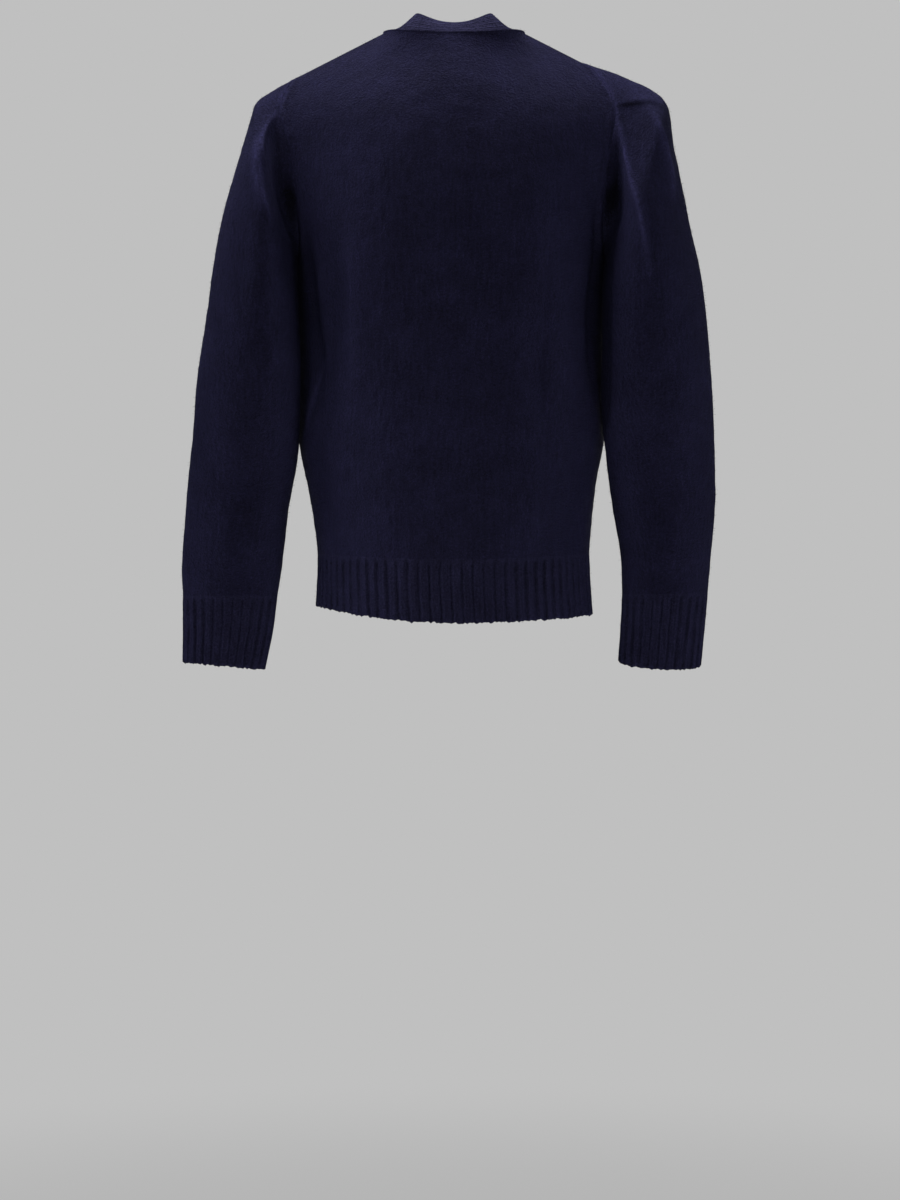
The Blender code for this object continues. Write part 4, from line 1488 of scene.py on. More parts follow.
# Each fold: its height, its left and right width, and its (x, depth) points. The main ones
# are the two long creases beside the underarms, the ridge that leaves each armhole seam and
# the short crease across the right sleeve's cap. The hidden sides have similar ones.
BACK_FOLDS = folds(
    Face.BACK,
    (0.0040, 0.008, 0.020, (0.1105, 0.190), (0.1100, 0.270), (0.1098, 0.340), (0.1120, 0.385),
     (0.1215, 0.418), (0.1350, 0.460)),
    (-0.0046, 0.014, 0.013, (0.130, 0.230), (0.131, 0.330), (0.139, 0.400)),
    (-0.0090, 0.009, 0.007, (0.1650, 0.215), (0.1610, 0.265), (0.1570, 0.315), (0.1510, 0.355),
     (0.1530, 0.395), (0.1600, 0.430)),
    (0.0030, 0.005, 0.005, (0.1500, 0.372), (0.1575, 0.402), (0.1655, 0.445)),
    (-0.0034, 0.016, 0.010, (-0.103, 0.270), (-0.097, 0.330), (-0.095, 0.385), (-0.104, 0.440),
     (-0.113, 0.500)),
    (0.0028, 0.015, 0.014, (-0.125, 0.300), (-0.122, 0.370), (-0.130, 0.440)),
    (-0.0085, 0.007, 0.008, (-0.1610, 0.185), (-0.1600, 0.240), (-0.1560, 0.285),
     (-0.1530, 0.330), (-0.1535, 0.362), (-0.1590, 0.400)),
    (-0.0012, 0.012, 0.016, (-0.028, 0.150), (-0.030, 0.230), (-0.026, 0.310)),
    (-0.0009, 0.015, 0.013, (0.045, 0.170), (0.050, 0.260), (0.047, 0.330)),
    (-0.0024, 0.010, 0.012, (0.1450, 0.470), (0.1380, 0.520), (0.1330, 0.565)),
    (-0.0018, 0.012, 0.010, (-0.141, 0.455), (-0.136, 0.515), (-0.134, 0.565)),
)
FRONT_FOLDS = folds(
    Face.FRONT,
    (-0.0032, 0.014, 0.016, (0.128, 0.205), (0.112, 0.262), (0.104, 0.330)),
    (0.0026, 0.018, 0.016, (0.100, 0.240), (0.086, 0.330), (0.084, 0.425)),
    (0.0030, 0.014, 0.013, (0.150, 0.300), (0.138, 0.380), (0.132, 0.470)),
    (-0.0016, 0.013, 0.015, (0.055, 0.440), (0.062, 0.500), (0.060, 0.555)),
    (-0.0030, 0.016, 0.014, (-0.124, 0.210), (-0.105, 0.280), (-0.098, 0.372)),
    (0.0031, 0.013, 0.015, (-0.141, 0.265), (-0.128, 0.350), (-0.121, 0.420)),
    (0.0020, 0.018, 0.019, (-0.075, 0.300), (-0.070, 0.400), (-0.077, 0.500)),
    (-0.0012, 0.013, 0.012, (-0.050, 0.180), (-0.056, 0.235), (-0.052, 0.290)),
)
LEFT_RIDGE = (
    (0.1965, 0.090), (0.2040, 0.101), (0.2095, 0.114), (0.2122, 0.132), (0.2124, 0.150),
    (0.2106, 0.173), (0.2060, 0.191), (0.2000, 0.208),
)
RIGHT_RIDGE = (
    (-0.1790, 0.090), (-0.1856, 0.120), (-0.1922, 0.149), (-0.1977, 0.175), (-0.2031, 0.201),
    (-0.2080, 0.230), (-0.2125, 0.268),
)
RIGHT_CAP_RIDGE = (
    (-0.2140, 0.080), (-0.2228, 0.101), (-0.2293, 0.120), (-0.2365, 0.150), (-0.2400, 0.185),
)
SLEEVE_FOLDS = {
    Side.LEFT: folds(
        Face.BACK,
        (0.0072, 0.0080, 0.0034, *LEFT_RIDGE),
        (0.0030, 0.016, 0.012, (0.2060, 0.105), (0.2125, 0.132), (0.2130, 0.160),
         (0.2110, 0.195), (0.2080, 0.230)),
        (-0.0105, 0.010, 0.009, (0.1945, 0.106), (0.1925, 0.125), (0.1885, 0.150),
         (0.1850, 0.172), (0.1795, 0.200), (0.1765, 0.228), (0.1755, 0.265)),
        (-0.0050, 0.007, 0.008, (0.1800, 0.205), (0.1775, 0.240), (0.1765, 0.290)),
        (-0.0022, 0.016, 0.014, (0.2360, 0.205), (0.2300, 0.260), (0.2340, 0.320)),
        (-0.0030, 0.013, 0.011, (0.2760, 0.300), (0.2560, 0.332), (0.2350, 0.350)),
        (0.0026, 0.012, 0.015, (0.2000, 0.350), (0.2150, 0.405), (0.2220, 0.470)),
        (-0.0020, 0.014, 0.012, (0.2920, 0.455), (0.2700, 0.480), (0.2450, 0.490)),
        (0.0018, 0.012, 0.012, (0.2450, 0.520), (0.2550, 0.560), (0.2520, 0.600)),
    )
    + folds(
        Face.FRONT,
        (0.0042, 0.012, 0.009, (0.2080, 0.100), (0.2060, 0.150), (0.1990, 0.205)),
        (-0.0034, 0.012, 0.013, (0.2350, 0.230), (0.2150, 0.270), (0.1980, 0.300)),
        (-0.0040, 0.011, 0.012, (0.2650, 0.330), (0.2420, 0.352), (0.2150, 0.362)),
        (0.0030, 0.011, 0.012, (0.2700, 0.385), (0.2480, 0.400), (0.2200, 0.402)),
        (0.0020, 0.014, 0.012, (0.2600, 0.460), (0.2500, 0.520), (0.2530, 0.580)),
    ),
    Side.RIGHT: folds(
        Face.BACK,
        (0.0056, 0.0048, 0.0028, *RIGHT_RIDGE),
        (-0.0018, 0.005, 0.010, (-0.1890, 0.100), (-0.1955, 0.124), (-0.2020, 0.152),
         (-0.2075, 0.178), (-0.2125, 0.206), (-0.2165, 0.240)),
        (0.0010, 0.012, 0.011, (-0.1800, 0.100), (-0.1900, 0.145), (-0.1990, 0.185),
         (-0.2070, 0.230)),
        (-0.0105, 0.0070, 0.0080, (-0.1790, 0.120), (-0.1765, 0.150), (-0.1750, 0.180),
         (-0.1735, 0.210), (-0.1725, 0.236)),
        (0.0048, 0.0070, 0.0040, *RIGHT_CAP_RIDGE),
        (0.0017, 0.0026, 0.0110, (-0.1735, 0.0820), (-0.1880, 0.0776), (-0.2031, 0.0760),
         (-0.2200, 0.0764), (-0.2310, 0.0812)),
        (-0.0007, 0.0070, 0.0024, (-0.1745, 0.0850), (-0.1890, 0.0812), (-0.2031, 0.0798),
         (-0.2230, 0.0800), (-0.2330, 0.0830)),
        (-0.0024, 0.013, 0.012, (-0.2700, 0.285), (-0.2500, 0.312), (-0.2300, 0.325)),
        (0.0024, 0.015, 0.012, (-0.1950, 0.340), (-0.2100, 0.395), (-0.2160, 0.465)),
        (-0.0018, 0.014, 0.012, (-0.2850, 0.440), (-0.2620, 0.462), (-0.2400, 0.468)),
        (0.0018, 0.013, 0.012, (-0.2380, 0.500), (-0.2440, 0.545), (-0.2380, 0.598)),
    )
    + folds(
        Face.FRONT,
        (0.0044, 0.009, 0.012, (-0.1980, 0.090), (-0.2020, 0.140), (-0.1960, 0.200)),
        (-0.0036, 0.013, 0.012, (-0.2300, 0.220), (-0.2120, 0.262), (-0.1960, 0.296)),
        (-0.0038, 0.012, 0.011, (-0.2620, 0.340), (-0.2380, 0.366), (-0.2100, 0.372)),
        (0.0028, 0.012, 0.011, (-0.2560, 0.405), (-0.2360, 0.420), (-0.2120, 0.424)),
        (0.0020, 0.012, 0.014, (-0.2480, 0.470), (-0.2400, 0.530), (-0.2440, 0.590)),
    ),
}

# Painted light and shade along lines drawn like folds: painted shade in the hollows between the
# body and the sleeves and along the right cap's crease, and painted highlights on the ridges and
# above that crease. The height is how much they lighten.
LEFT_GAP = (
    (0.1800, 0.180), (0.1778, 0.205), (0.1758, 0.227), (0.1725, 0.272), (0.1691, 0.322),
    (0.1658, 0.367), (0.1691, 0.420), (0.1720, 0.455),
)
RIGHT_GAP = (
    (-0.1710, 0.180), (-0.1695, 0.205), (-0.1697, 0.227), (-0.1658, 0.273), (-0.1624, 0.319),
    (-0.1640, 0.365), (-0.1669, 0.400), (-0.1670, 0.435),
)
RIGHT_SLEEVE_GAP = (
    (-0.1740, 0.178), (-0.1735, 0.205), (-0.1730, 0.227), (-0.1700, 0.273), (-0.1685, 0.319),
    (-0.1690, 0.365), (-0.1700, 0.400), (-0.1690, 0.430),
)
BACK_PAINTED_SHADING = folds(
    Face.BACK,
    (-2.4, 0.0080, 0.0036, *LEFT_GAP),
    (-2.4, 0.0036, 0.0080, *RIGHT_GAP),
    (0.85, 0.0018, 0.0018, (0.1490, 0.360), (0.1560, 0.395), (0.1660, 0.440)),
)
SLEEVE_PAINTED_SHADING = {
    Side.LEFT: folds(
        Face.BACK,
        (-2.4, 0.0036, 0.0110, *LEFT_GAP),
        (0.95, 0.0030, 0.0018, (0.1950, 0.087), *LEFT_RIDGE[1:]),
    ),
    Side.RIGHT: folds(
        Face.BACK,
        (-2.4, 0.0120, 0.0036, *RIGHT_SLEEVE_GAP),
        (1.0, 0.0026, 0.0016, (-0.1780, 0.082), *RIGHT_RIDGE[1:-1], (-0.2125, 0.272)),
        (0.95, 0.0045, 0.0030, (-0.2140, 0.082), *RIGHT_CAP_RIDGE[1:]),
        (-0.80, 0.0016, 0.0014, (-0.1750, 0.0830), (-0.1880, 0.0796), (-0.2031, 0.0780),
         (-0.2200, 0.0784), (-0.2310, 0.0832)),
        (0.35, 0.0040, 0.0030, (-0.1735, 0.0770), (-0.1880, 0.0726), (-0.2031, 0.0710),
         (-0.2200, 0.0714), (-0.2310, 0.0762)),
    ),
}


@dataclass(frozen=True)
class SeamRoll:
    """The rolled edge beside an armhole seam, and the painted highlight on its nap."""

    height: float
    place: float  # of its crest, from the seam
    width: float
    fade: tuple[float, float]  # depths where it starts to fade, and is gone
    light: float = 0.70  # how much the painted highlight lightens the nap
    highlight_width: float = 0.0042
    highlight_fade: tuple[float, float] = (0.072, 0.105)

    def rise(self, distance: Grid) -> Grid:
        """How far the roll stands up at distances from the seam."""
        return self.height * np.exp(-(((distance - self.place) / self.width) ** 2))

    def reach(self, points: Grid) -> Grid:
        """The roll's share of its full height at points, by their depth."""
        return 1.0 - soft_step(-points[..., 2], *self.fade)

    def tone(self, distance: Grid, points: Grid) -> Grid:
        """The painted highlight at points that lie at distances from the seam."""
        fading = 1.0 - soft_step(-points[..., 2], *self.highlight_fade)
        return self.light * np.exp(-((distance / self.highlight_width) ** 2)) * fading


def way_in(grid: Grid, face: Face, spread: float, rise: float) -> Grid:
    """Finds the way into the garment.

    Args:
        grid: Points on one face of the body.
        face: The back or the front.
        spread: How much that face turns aside with each metre from the centre line.
        rise: How much it turns up.

    Returns:
        A unit vector at each point.
    """
    facing = np.zeros_like(grid)
    facing[..., 0] = spread * grid[..., 0]
    facing[..., 1:] = face.sign, rise
    return -grid_normals(grid, facing)


@dataclass(frozen=True)
class Drape:
    """Slight waves all over a worn cloth."""

    height: float
    upright: bool  # their main crests run up, not across
    crests: float  # how close those are, in radians for each metre
    sway: float  # how far they sway, in radians
    bends: float  # how close the sways are
    broken: tuple[float, float]  # how close the breaks in them are, up and across

    def rise(self, points: Grid) -> Grid:
        """How far the waves lift a cloth.

        Args:
            points: Points of the cloth.

        Returns:
            A height for each point.
        """
        x, z = points[..., 0], points[..., 2]
        along, beside = (x, z) if self.upright else (z, x)
        swaying = np.sin(self.crests * along + self.sway * np.sin(self.bends * beside))
        return self.height * swaying * np.sin(self.broken[0] * z + self.broken[1] * x)


@dataclass
class Body:
    """The back and the two fronts, plain knit, from the rib up to the shoulders."""

    cell: float = 0.0036  # spacing along the side seams and armholes
    seam_depth: float = 0.242  # of the level where those meet
    easing: int = 40  # rounds of evening out
    neck_steps: int = 26  # from the centre back to the neck's corner
    shoulder_steps: int = 32  # along a shoulder
    front_steps: int = 46  # across a front
    turned_columns: int = 5  # where the way in agrees with the next piece
    samples: int = 400  # points that the armhole is measured at
    facing: tuple[float, float] = (2.0, 0.3)  # how a panel turns aside and up
    drape: Drape = Drape(0.0007, True, 31.0, 2.2, 11.0, (17.0, 9.0))
    lively: float = 0.00024  # unevenness of the surface
    seed: int = 21
    seam_margin: float = 0.016  # where the folds fade beside an armhole,
    top_margin: float = 0.020  # at the shoulders and the neck,
    low_margin: float = 0.030  # at the rib,
    band_margin: float = 0.020  # and at the front band
    edge_margin: float = 0.008  # where the unevenness fades
    roll_margin: tuple[float, float] = (0.002, 0.018)  # where the seam's roll fades
    roll: SeamRoll = SeamRoll(0.0012, 0.0048, 0.0030, (0.10, 0.16))
    knit: WoolKnit = WoolKnit("brushed_plain_knit")
    cloths: dict[str, Cloth] = field(default_factory=dict)

    def edge_rows(self) -> tuple[Grid, Grid]:
        """Finds the levels of the panels.

        Returns:
            Depths down the side seam, then turns round the armhole.
        """
        low, high = SHAPE.side_rib_depth, self.seam_depth
        depths = np.linspace(low, high, int((low - high) / self.cell))
        turns = np.linspace(len(ARMHOLE) - 1.0, 0.0, self.samples)
        seam = SHAPE.armhole(Side.LEFT, Face.BACK, turns)
        return depths, even_places(seam, turns, int(lengths(seam, 0)[-1] / self.cell))

    def edges(self, side: Side, face: Face) -> Grid:
        """The outer end of each level, from the rib up to the shoulder tip."""
        depths, turns = self.edge_rows()
        return np.concatenate([SHAPE.side_seam(side, depths), SHAPE.armhole(side, face, turns)])

    def shares(self, face: Face) -> Grid:
        """How far up each level is.

        Args:
            face: The back or the front.

        Returns:
            Shares from 0 at the rib to 1 at the shoulder tips.
        """
        left, right = (self.edges(side, face)[:, 2] for side in (Side.LEFT, Side.RIGHT))
        heights = 0.5 * (left + right)
        return (heights - heights[0]) / (heights[-1] - heights[0])

    def back_ratios(self, side: Side) -> Callable[[float, float], Grid]:
        """Where the back's points lie across a level.

        Args:
            side: Which half.

        Returns:
            A function that gives the same ratios for every level.
        """
        corner = SHAPE.neck_half_width / getattr(ARMHOLE[0], "back_out_" + side.value)
        neck = np.sin(np.linspace(0.0, math.pi / 2, self.neck_steps + 1))
        neck = corner * neck ** (2.0 / SHAPE.neck_square)
        shoulder = np.sin(np.linspace(math.asin(corner), math.pi / 2, self.shoulder_steps + 1))
        ratio = np.concatenate([neck, shoulder[1:]])
        return lambda out, depth: ratio

    def front_ratios(self, out: float, depth: float) -> Grid:
        """Where a front's points lie across a level."""
        inner = math.asin(SHAPE.front_inner_out(depth) / out)
        return np.sin(np.linspace(inner, math.pi / 2, self.front_steps + 1))

    def meet_neighbours(self, inward: Grid, side: Side, face: Face) -> None:
        """Turns the way in, near the outer edge, to agree with the next piece's.

        Args:
            inward: The way in at each point; it is changed.
            side: The side of the outer edge.
            face: The back or the front.
        """
        depths, turns = self.edge_rows()
        seam = np.concatenate(
            [
                np.tile((-side.sign, 0.0, 0.0), (len(depths), 1)),
                SHAPE.armhole_inward(face, turns),
            ]
        )
        outermost = inward.shape[1] - 1
        for step in range(self.turned_columns):
            at_left_end = face is Face.BACK and side is Side.RIGHT
            col = step if at_left_end else outermost - step
            share = (1.0 - step / self.turned_columns) ** 2
            inward[:, col] = unit(inward[:, col] * (1.0 - share) + seam * share)

    def relief(
        self, grid: Grid, inward: Grid, creases: Sequence[Fold], sides: Sequence[Side]
    ) -> tuple[Grid, Grid]:
        """Works out how far the cloth stands off its smooth surface, and its painted shading.

        Args:
            grid: Points of a panel.
            inward: The way in at each point.
            creases: The folds on this panel.
            sides: The sides that have an armhole; the last one is at the last column.

        Returns:
            A height and a tone of painted light and shade for each point.
        """
        height = fold_heights(grid, -inward[..., 1], creases)
        # Painted highlights on crests and painted shade in troughs and beside the sleeves
        tone = crease_painted_shading(height)
        if creases[0].face is Face.BACK:
            tone = tone + line_painted_shading(grid, -inward[..., 1], BACK_PAINTED_SHADING)
        height = height + self.drape.rise(grid)
        across = lengths(grid, 1)
        away = {sides[-1]: across[:, -1:] - across}
        if len(sides) == 2:
            away[sides[0]] = across
        roll = np.zeros_like(height)
        side_levels = len(self.edge_rows()[0])
        rows = np.arange(len(grid))[:, None]
        on_armhole = soft_step(rows, side_levels - 2, side_levels + 4)
        for distance in away.values():
            height = height * soft_step(distance, 0.0, self.seam_margin)
            # a painted highlight along the seam's roll
            tone = tone + self.roll.tone(distance, grid) * on_armhole
            roll = roll + self.roll.rise(distance) * on_armhole * self.roll.reach(grid)
        low = lengths(grid, 0)
        top = low[-1:] - low
        height = height * soft_step(top, 0.0, self.top_margin)
        height = height * soft_step(low, 0.0, self.low_margin)
        inside = soft_step(np.minimum(top, low), 0.0, self.edge_margin)
        rough = uneven(height.shape, self.lively, self.seed) * inside
        roll = roll * soft_step(top, *self.roll_margin)
        return height + rough + roll, np.clip(tone, -1.0, 1.0)

    def run_of(self, grid: Grid, zero: int) -> Grid:
        """Metres across the wales, from the column zero, and up the courses."""
        across, up = lengths(grid, 1), lengths(grid, 0)[:, [grid.shape[1] // 2]]
        return np.stack([across - across[:, [zero]], np.broadcast_to(up, across.shape)], axis=-1)

    def back(self) -> Cloth:
        """Shapes the back.

        Returns:
            Its cloth.
        """
        face = Face.BACK
        halves = [
            SHAPE.half_panel(
                side, face, self.edges(side, face), self.shares(face), self.back_ratios(side)
            )
            for side in (Side.RIGHT, Side.LEFT)
        ]
        grid = relaxed(np.concatenate([halves[0][:, :0:-1], halves[1]], axis=1), self.easing)
        inward = way_in(grid, face, *self.facing)
        cols = grid.shape[1]
        middle = cols // 2
        neck = np.zeros(cols, dtype=bool)
        neck[middle - self.neck_steps + 1 : middle + self.neck_steps] = True
        inward[-1, ~neck] = (0.0, 0.0, -1.0)
        for side in (Side.RIGHT, Side.LEFT):
            self.meet_neighbours(inward, side, face)
        relief, tone = self.relief(grid, inward, BACK_FOLDS, (Side.RIGHT, Side.LEFT))
        outer = grid - inward * relief[..., None]
        run = self.run_of(grid, middle)
        return Cloth("back_knit", outer, inward, SHAPE.wall, run, crease=tone)

    def front(self, side: Side) -> Cloth:
        """Shapes one front.

        Args:
            side: Which front.

        Returns:
            Its cloth.
        """
        edges = self.edges(side, Face.FRONT)
        grid = SHAPE.half_panel(side, Face.FRONT, edges, self.shares(Face.FRONT), self.front_ratios)
        grid = relaxed(grid, self.easing)
        inward = way_in(grid, Face.FRONT, *self.facing)
        inward[-1] = (0.0, 0.0, -1.0)
        for col in range(4):
            share = 1.0 - col / 4
            inward[:, col] = face_forward(inward[:, col], grid[:, col], share)
        self.meet_neighbours(inward, side, Face.FRONT)
        relief, tone = self.relief(grid, inward, FRONT_FOLDS, (side,))
        relief = relief * soft_step(lengths(grid, 1), 0.0, self.band_margin)
        outer = grid - inward * relief[..., None]
        name = "front_%s_knit" % side.value
        return Cloth(name, outer, inward, SHAPE.wall, self.run_of(grid, 0), crease=tone)

    def build(self) -> dict[str, bpy.types.Object]:
        """Makes the three panels.

        Returns:
            The pieces by node.
        """
        finish = self.knit.material()
        self.cloths = {"back": self.back()}
        for side in Side:
            self.cloths["front_" + side.value] = self.front(side)
        return {node: settle(cloth.build(), finish, node) for node, cloth in self.cloths.items()}


def face_forward(inward: Grid, outer: Grid, share: float = 1.0) -> Grid:
    """Turns the way in at a front's inner edge straight back where the bands overlap.

    Args:
        inward: The way in at each point of the edge.
        outer: Those points.
        share: How far it is turned, from 0 to 1.

    Returns:
        The turned way in.
    """
    fade = share_above(-outer[:, 2], *SHAPE.layer_fade) * share
    turned = inward.copy()
    turned[:, 0] *= 1.0 - fade
    return unit(turned)


@dataclass
class RibHem:
    """The two by two rib hem of the back and of each front."""

    body: Body
    pitch: float = 0.0118  # from one rib to the next
    relief: float = 0.0018  # of a rib above its groove
    rows: int = 22
    step: float = 0.0011  # spacing along the hem
    fade: float = 0.008  # how far down the ribs reach their full height
    ragged: float = 0.0006  # unevenness of the edge
    samples: int = 600  # points that a level is measured at
    facing: tuple[float, float] = (8.0, 0.0)  # how a hem turns aside and up
    back_start: float = 0.25  # where on a rib the back's centre line lies
    front_start: float = 0.4  # and each front's inner edge
    # Colours lighter than the plain knit's: painted light on the hem and cuffs
    knit: WoolKnit = WoolKnit(
        "ribbed_knit",
        deep=(0.0052, 0.0050, 0.0135),
        lit=(0.0375, 0.0358, 0.1020),
        loops=0.7,
        groove_shade=0.12,
    )
    cloths: dict[str, Cloth] = field(default_factory=dict)

    def half(self, side: Side, face: Face) -> Grid:
        """Finds the points of one half of a hem.

        Args:
            side: Which half.
            face: The back or the front.

        Returns:
            Rows from the edge up, by columns from the inner end outwards.
        """
        side_top, centre_top = SHAPE.side_rib_depth, SHAPE.centre_rib_depth[face]
        places = None
        grid = []
        for share in np.linspace(1.0, 0.0, self.rows):
            side_depth = side_top + (SHAPE.side_hem_depth[side] - side_top) * share
            depth = centre_top + (SHAPE.centre_hem_depth[face] - centre_top) * share
            edge = SHAPE.side_seam(side, np.array([side_depth]))[0]
            centre = (float(read(PROFILE, face.value + "_y", depth)), -depth)
            inner = 0.0 if face is Face.BACK else 0.5 * SHAPE.band_width / abs(edge[0])
            if places is None:
                fine = np.sin(np.linspace(math.asin(inner), math.pi / 2, self.samples))
                line = SHAPE.across(edge, centre, fine, face)
                places = even_places(line, fine, int(lengths(line, 0)[-1] / self.step))
            ratio = inner + (places - places[0]) * (1.0 - inner) / (1.0 - places[0])
            grid.append(SHAPE.across(edge, centre, ratio, face))
        return np.array(grid)

    def inward(self, grid: Grid, face: Face) -> Grid:
        """The level way into the garment at each point of a hem."""
        return unit(way_in(grid, face, *self.facing) * (1.0, 1.0, 0.0))

    def cloth(self, name: str, grid: Grid, inward: Grid, start: float) -> Cloth:
        """Makes the wall of one hem.

        Args:
            name: Name of its piece.
            grid: Its points.
            inward: The way in at each point.
            start: Where its ribs are counted from.

        Returns:
            The cloth.
        """
        along = lengths(grid, 1) + start
        up = lengths(grid, 0)
        grid[0, 1:-1, 2] += uneven((grid.shape[1] - 2,), self.ragged, grid.shape[1])
        rise = soft_step(up[-1:] - up, 0.0, self.fade)
        run = np.stack([along, up], axis=-1)
        return Cloth(
            name, grid, inward, SHAPE.rib_wall, run, rounded=("first",), rib=along, rib_rise=rise
        )

    def build(self) -> dict[str, bpy.types.Object]:
        """Makes the three hems.

        Returns:
            The pieces by node.
        """
        finish = self.knit.material()
        tree = rib_tree("hem_ribs", finish, self.pitch, self.relief)
        halves = [self.half(side, Face.BACK) for side in (Side.RIGHT, Side.LEFT)]
        grid = np.concatenate([halves[0][:, :0:-1], halves[1]], axis=1)
        inward = self.inward(grid, Face.BACK)
        inward[:, 0], inward[:, -1] = (1.0, 0.0, 0.0), (-1.0, 0.0, 0.0)
        start = -float(lengths(halves[0], 1)[:, -1].mean()) + self.back_start * self.pitch
        self.cloths["hem_rib_back"] = self.cloth("hem_rib_back_knit", grid, inward, start)
        for side in Side:
            grid = self.half(side, Face.FRONT)
            inward = self.inward(grid, Face.FRONT)
            for col in range(3):
                inward[:, col] = face_forward(inward[:, col], grid[:, col])
            inward[:, -1] = (-side.sign, 0.0, 0.0)
            name = "hem_rib_" + side.value
            start = self.front_start * self.pitch
            self.cloths[name] = self.cloth(name + "_knit", grid, inward, start)
        return {
            node: settle(tree.apply(cloth.build(), cloth.name), finish, node)
            for node, cloth in self.cloths.items()
        }


@dataclass
class Sleeve:
    """A set-in sleeve and its ribbed cuff."""

    side: Side
    knit: bpy.types.Material
    rib_knit: bpy.types.Material
    cells: tuple[float, float] = (0.0024, 0.0050)  # spacing over the cap, and further down
    fine_length: float = 0.270  # how far down the cap's spacing reaches
    angles: int = 190  # points round the sleeve
    ribs: int = 24  # round the cuff
    rib_points: int = 10  # points round the cuff for each
    pitch: float = 0.0105
    relief: float = 0.0016
    fade: float = 0.008  # how far down the ribs reach their full height
    ragged: float = 0.00055  # unevenness of the cuff's edge
    seeds: dict[Side, tuple[int, int]] = field(  # for the sleeve and the cuff
        default_factory=lambda: {Side.LEFT: (31, 41), Side.RIGHT: (32, 42)}
    )
    turned_rings: int = 5  # where the way in agrees with the body's
    samples: tuple[int, int, int] = (1441, 300, 32)  # points of a ring, down it, and round that
    closer: float = 2.0  # how much closer the angles lie at the back
    back_half: tuple[float, float] = (-0.25, 0.10)  # where that starts, and is whole
    cuff_rings: int = 24
    drape: Drape = Drape(0.0008, False, 36.0, 2.0, 28.0, (14.0, 23.0))
    lively: float = 0.00016  # unevenness of the surface
    margins: tuple[float, float] = (0.008, 0.030)  # where the folds fade at the cap and the cuff
    roll_turn: tuple[float, float] = (0.02, 0.20)  # how the roll, the cap's painted light and the seam's painted highlight fade in as the cloth turns to the side, up and to the back
    cap_turn: tuple[float, float] = (0.30, 0.80)  # tone fade in as the cloth turns to the side,
    tone_turn: tuple[float, float] = (-0.2, 0.2)  # up and to the back
    cap_painted_light: float = 0.28  # how much painted light lightens the cloth where it faces up
    roll: SeamRoll = SeamRoll(0.0007, 0.0036, 0.0026, (0.10, 0.15))

    def inward(self, rings: Grid) -> Grid:
        """The way into the sleeve at each point."""
        outward = rings - rings.mean(axis=1, keepdims=True)
        return -grid_normals(rings, outward, closed=True)

    def even_angles(self, row: float, count: int, closer: float = 0.0) -> Grid:
        """Spaces points round the sleeve.

        Args:
            row: The row of the ring that they are spaced on.
            count: How many there are.
            closer: How much closer they lie at the back.

        Returns:
            The angle of each.
        """
        fine = np.linspace(0.0, 2 * math.pi, self.samples[0])
        run = lengths(SHAPE.sleeve(self.side, np.array([row]), fine)[0], 0)
        weight = 1.0 + closer * soft_step(np.sin(fine), *self.back_half)
        packed = np.concatenate([[0.0], np.cumsum(np.diff(run) * weight[1:])])
        return np.interp(np.linspace(0.0, packed[-1], count + 1), packed, fine)[:-1]

    def run_of(self, rings: Grid) -> Grid:
        """Finds where each point lies on the knit.

        Args:
            rings: Points of the sleeve.

        Returns:
            Metres round the sleeve and up it.
        """
        wrapped = np.concatenate([rings, rings[:, :1]], axis=1)
        around = lengths(wrapped, 1)[:, :-1]
        up = -lengths(rings, 0).mean(axis=1, keepdims=True)
        return np.stack([around, np.broadcast_to(up, around.shape)], axis=-1)

    def ring_rows(self) -> Grid:
        """Spaces the rings down the sleeve.

        Returns:
            The row of each ring, closer together over the cap.
        """
        _, down, round_it = self.samples
        fine = np.linspace(0.0, SHAPE.cuff_row, down)
        angles = np.linspace(0.0, 2 * math.pi, round_it + 1)[:-1]
        spine = SHAPE.sleeve(self.side, fine, angles).mean(axis=1)
        run = lengths(spine, 0)
        steps = np.where(run[1:] < self.fine_length, *self.cells)
        packed = np.concatenate([[0.0], np.cumsum(np.diff(run) / steps)])
        return np.interp(np.linspace(0.0, packed[-1], int(packed[-1])), packed, fine)

    def upper(self) -> Cloth:
        """Shapes the sleeve, from the armhole to the cuff.

        Returns:
            Its cloth.
        """
        angles = self.even_angles(SHAPE.cap_rows, self.angles, self.closer)
        rings = SHAPE.sleeve(self.side, self.ring_rows(), angles)
        inward = self.inward(rings)
        height = fold_heights(rings, -inward[..., 1], SLEEVE_FOLDS[self.side])
        # Painted highlights on crests and ridges, painted shade in troughs and the gap by the body
        tone = crease_painted_shading(height) + line_painted_shading(rings, -inward[..., 1], SLEEVE_PAINTED_SHADING[self.side])
        height = height + self.drape.rise(rings)
        height = height + uneven(height.shape, self.lively, self.seeds[self.side][0])
        down = lengths(rings, 0)
        at_cap, at_cuff = self.margins
        height = height * soft_step(down, 0.0, at_cap) * soft_step(down[-1:] - down, 0.0, at_cuff)
        turned = soft_step(np.abs(inward[..., 1]), *self.roll_turn)
        height = height + self.roll.reach(rings) * turned * self.roll.rise(down)
        outer = rings - inward * height[..., None]
        seam = SHAPE.round_armhole(angles, SHAPE.armhole_inward)
        for row in range(self.turned_rings):
            share = (1.0 - row / self.turned_rings) ** 2
            inward[row] = unit(inward[row] * (1.0 - share) + seam * share)
        outer[0, :, 0] += self.side.sign * SHAPE.seam_gap
        # painted light where the cap faces up, and a painted highlight along the seam's roll
        tone = tone + self.cap_painted_light * soft_step(-inward[..., 2], *self.cap_turn)
        tone = tone + self.roll.tone(down, rings) * soft_step(-inward[..., 1], *self.tone_turn)
        return Cloth(
            "sleeve_%s_knit" % self.side.value,
            outer,
            inward,
            SHAPE.wall,
            self.run_of(rings),
            closed=True,
            crease=np.clip(tone, -1.0, 1.0),
        )

